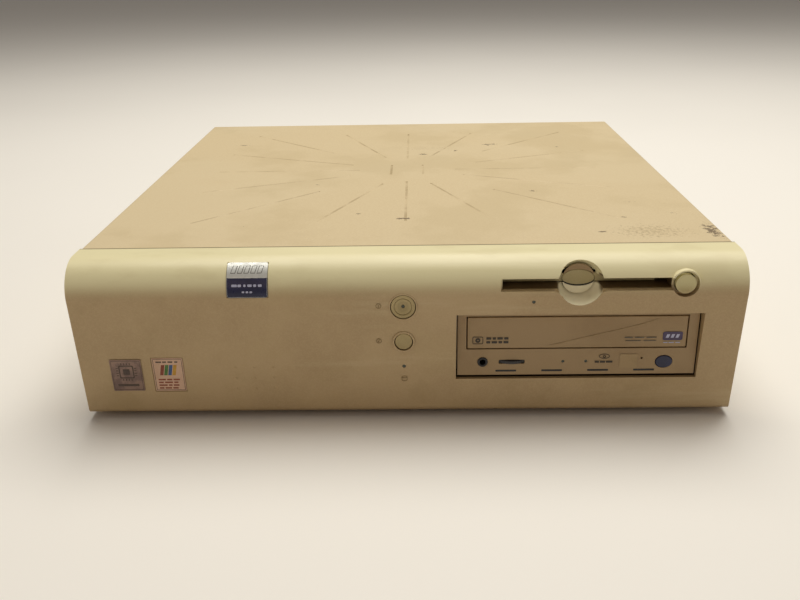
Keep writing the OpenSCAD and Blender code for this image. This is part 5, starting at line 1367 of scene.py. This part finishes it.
class COMPUTER_OT_rear_sockets(bpy.types.Operator):
    """Contacts, collars and small symbols of the sockets at the back"""
    bl_idname = "computer.rear_sockets"
    bl_label = "Rear sockets"

    def execute(self, context):
        body, slot = BODY_OF["rear_ports"], SLOT_OF["rear_ports"]
        holes, tips = [], []
        for x, _, counts in PIN_SOCKETS:
            lines = len(counts)
            for row, count in enumerate(counts):
                for i in range(count):
                    spot = place(x + (i - (count - 1) / 2) * 2.76 * (0.8 if lines == 3 else 1),
                                 PORT_FACE - 0.35,
                                 PORT_Z + ((lines - 1) / 2 - row) * (2.84 if lines == 2 else 2.3))
                    (tips if count in (5, 4) and lines == 2 else holes).append((spot, BACK))
        cup = Shapes(LOOSE).lathe(
            ((0.0, -0.2), (0.95, -0.2), (0.95, 0.5), (0.55, 0.5), (0.5, 0.1), (0.0, 0.1)), steps=12)
        scattered("socket_cups", cup, holes, "contact_gold", body)
        tip = Shapes(LOOSE).lathe(((0.0, -0.2), (0.5, -0.2), (0.5, 1.2), (0.25, 1.6), (0.0, 1.7)), steps=12)
        scattered("socket_pins", tip, tips, "contact_gold", body)
        shell = Shapes(on_rear(0, PORT_Z, PORT_FACE))
        for x, width, _ in PIN_SOCKETS:
            outer = [(-x + a, b) for a, b in rounded(width + 1.6, 11.1, 3.0)]
            inner = [(-x + a, b) for a, b in rounded(width - 0.6, 8.9, 2.2)]
            shell.ring(outer, inner, -4.0, 0.6)
        shell.ring([(58 + a, b + 45.9) for a, b in rounded(20.2, 8.6, 2.4)],
                   [(58 + a, b + 45.9) for a, b in rounded(18.2, 6.8, 1.8)], -6.2, 0.3)
        shell.piece("socket_shells", "bright_steel", body, slot, 0.15)
        face = Shapes(on_rear(-58, 67, PORT_FACE)).prism(rounded(18.4, 7.0, 1.8), -6.0, 0.08)
        face.piece("card_socket_face", "blue_ink", body, slot)
        collar = Shapes(on_rear(0, PORT_Z, JACK_FACE))
        for x in ROUND_SOCKETS:
            for k in range(6):
                angle = math.tau * (k + 0.5) / 6
                collar.prism(circle(0.5, -x + 2.9 * math.cos(angle), 2.9 * math.sin(angle), 12), -3.6, -2.0)
        collar.piece("round_socket_contacts", "contact_gold", body, slot)
        for name, x, coat in (("out", 10, "green_ink"), ("line", 23, "blue_ink"),
                              ("microphone", 36, "red_ink")):
            ring = Shapes(on_rear(x, PORT_Z, JACK_FACE)).lathe(
                ((2.0, -0.4), (3.6, -0.4), (3.6, 0.1), (3.0, 0.4), (2.2, 0.3), (2.0, -0.4)), steps=32)
            ring.piece("sound_socket_%s_ring" % name, coat, body, slot)
        wires = Shapes(LOOSE).prism(rounded(0.5, 0.5), 0.0, 5.0)
        gridded("network_socket_contacts", wires, place(-8 - 4.4, 425, PORT_Z - 3.4), 8, (1.26 * MM, 0, 0), 1,
                (0, 0, 0),
                "contact_gold", body, (-math.pi / 2 + 0.5, 0, 0))
        for name, x, coat in (("keyboard", -189, "violet_ink"), ("mouse", -173, "green_ink")):
            rim = Shapes(on_rear(x, PORT_Z, JACK_FACE)).ring(circle(6.5, steps=40), circle(5.0, steps=40),
                                                             -0.1, 0.25)
            rim.piece("%s_socket_ring" % name, coat, body, slot, 0.08)
        signs = Shapes(on_rear(0, 0))
        for x in (-189, -173, -128, -83, -38, -8, 10, 23, 36):
            signs.prism(rounded(4.0, 1.0, 0.3, -x, 33.5, 2), SUNK, 0.04)
            signs.prism(slanted(2.4, 1.0, 0.6, -x, 35.4), SUNK, 0.04)
        signs.piece("socket_symbols", "dark_ink", "chassis", SLOT_OF["rear_panel"])
        prongs = Shapes(on_rear(172, 62, 427.0))
        for x, dz in ((7, -1.5), (0, 2.5), (-7, -1.5)):
            prongs.prism(rounded(2.3, 4.3, 0.3, x, dz, 2), -17.5, -3.8, 0.4)
        prongs.piece("mains_inlet_blades", "bright_steel", BODY_OF["mains_inlet"], "bright_steel")
        return {"FINISHED"}


class COMPUTER_OT_stage(bpy.types.Operator):
    """A plain pale floor, soft studio light and the camera"""
    bl_idname = "computer.stage"
    bl_label = "Stage"

    def execute(self, context):
        look = settings()
        scene = context.scene
        data = bpy.data.meshes.new("floor")
        reach = 9.0
        data.from_pydata([(-reach, -reach, 0), (reach, -reach, 0), (reach, reach, 0), (-reach, reach, 0)], [],
                         [(0, 1, 2, 3)])
        floor = bpy.data.objects.new("floor", data)
        scene.collection.objects.link(floor)
        data.materials.append(FINISHES["floor_paint"])

        world = bpy.data.worlds.new("studio")
        scene.world = world
        world.use_nodes = True
        sky = world.node_tree.nodes["Background"]
        sky.inputs["Color"].default_value = colour("#FBF0E4")
        sky.inputs["Strength"].default_value = 0.2

        for name, where, aim, size, power, tint in (
                ("overhead soft box", (0.2, 0.5, 1.9), (0.0, 0.0, 0.05), 1.8, look.lamp_power, "#FFFAF0"),
                ("front fill", (-0.6, -2.2, 1.2), (0.0, 0.0, 0.05), 1.4, 3.0, "#FFDCC0")):
            lamp = bpy.data.lights.new(name, "AREA")
            lamp.shape = "SQUARE"
            lamp.size = size
            lamp.energy = power
            lamp.color = colour(tint)[:3]
            holder = bpy.data.objects.new(name, lamp)
            scene.collection.objects.link(holder)
            holder.location = where
            holder.rotation_euler = (Vector(aim) - Vector(where)).to_track_quat("-Z", "Y").to_euler()

        pitch, yaw, roll = look.camera_pitch, look.camera_yaw, look.camera_roll
        ahead = Vector((math.sin(yaw) * math.cos(pitch), math.cos(yaw) * math.cos(pitch), -math.sin(pitch)))
        right = Vector((math.cos(yaw), -math.sin(yaw), 0.0))
        up = right.cross(ahead)
        right, up = (right * math.cos(roll) + up * math.sin(roll),
                     up * math.cos(roll) - right * math.sin(roll))
        lens = bpy.data.cameras.new("camera")
        lens.lens = look.lens
        lens.sensor_width = 36.0
        lens.clip_start = 0.01
        camera = bpy.data.objects.new("camera", lens)
        scene.collection.objects.link(camera)
        turn = Matrix((right, up, -ahead)).transposed().to_4x4()
        camera.matrix_world = Matrix.Translation(Vector(look.camera_place)) @ turn
        scene.camera = camera
        scene.view_settings.view_transform = "Standard"
        return {"FINISHED"}


class COMPUTER_PT_pieces(bpy.types.Panel):
    """Lists the operators and the settings in the sidebar"""
    bl_idname = "COMPUTER_PT_pieces"
    bl_label = "Desktop computer"
    bl_space_type = "VIEW_3D"
    bl_region_type = "UI"
    bl_category = "Computer"

    def draw(self, context):
        for key in ComputerSettings.__annotations__:
            self.layout.prop(context.scene.computer, key)
        for step in STEPS:
            self.layout.operator(step.bl_idname)


STEPS = (
    COMPUTER_OT_finishes, COMPUTER_OT_shell, COMPUTER_OT_buttons, COMPUTER_OT_badge, COMPUTER_OT_labels,
    COMPUTER_OT_symbols, COMPUTER_OT_disc_drive, COMPUTER_OT_screws, COMPUTER_OT_main_board,
    COMPUTER_OT_cables, COMPUTER_OT_drive_labels, COMPUTER_OT_rear_sockets, COMPUTER_OT_stage,
)
CLASSES = (ComputerSettings, COMPUTER_PT_pieces) + STEPS


def register():
    """Adds the operators, the panel and the settings."""
    for entry in CLASSES:
        bpy.utils.register_class(entry)
    bpy.types.Scene.computer = bpy.props.PointerProperty(type=ComputerSettings)


def unregister():
    """Takes away what register() added."""
    del bpy.types.Scene.computer
    for entry in reversed(CLASSES):
        bpy.utils.unregister_class(entry)


def main():
    """Builds every piece in turn."""
    register()
    for step in STEPS:
        space, name = step.bl_idname.split(".")
        getattr(getattr(bpy.ops, space), name)()


if __name__ == "__main__":
    main()
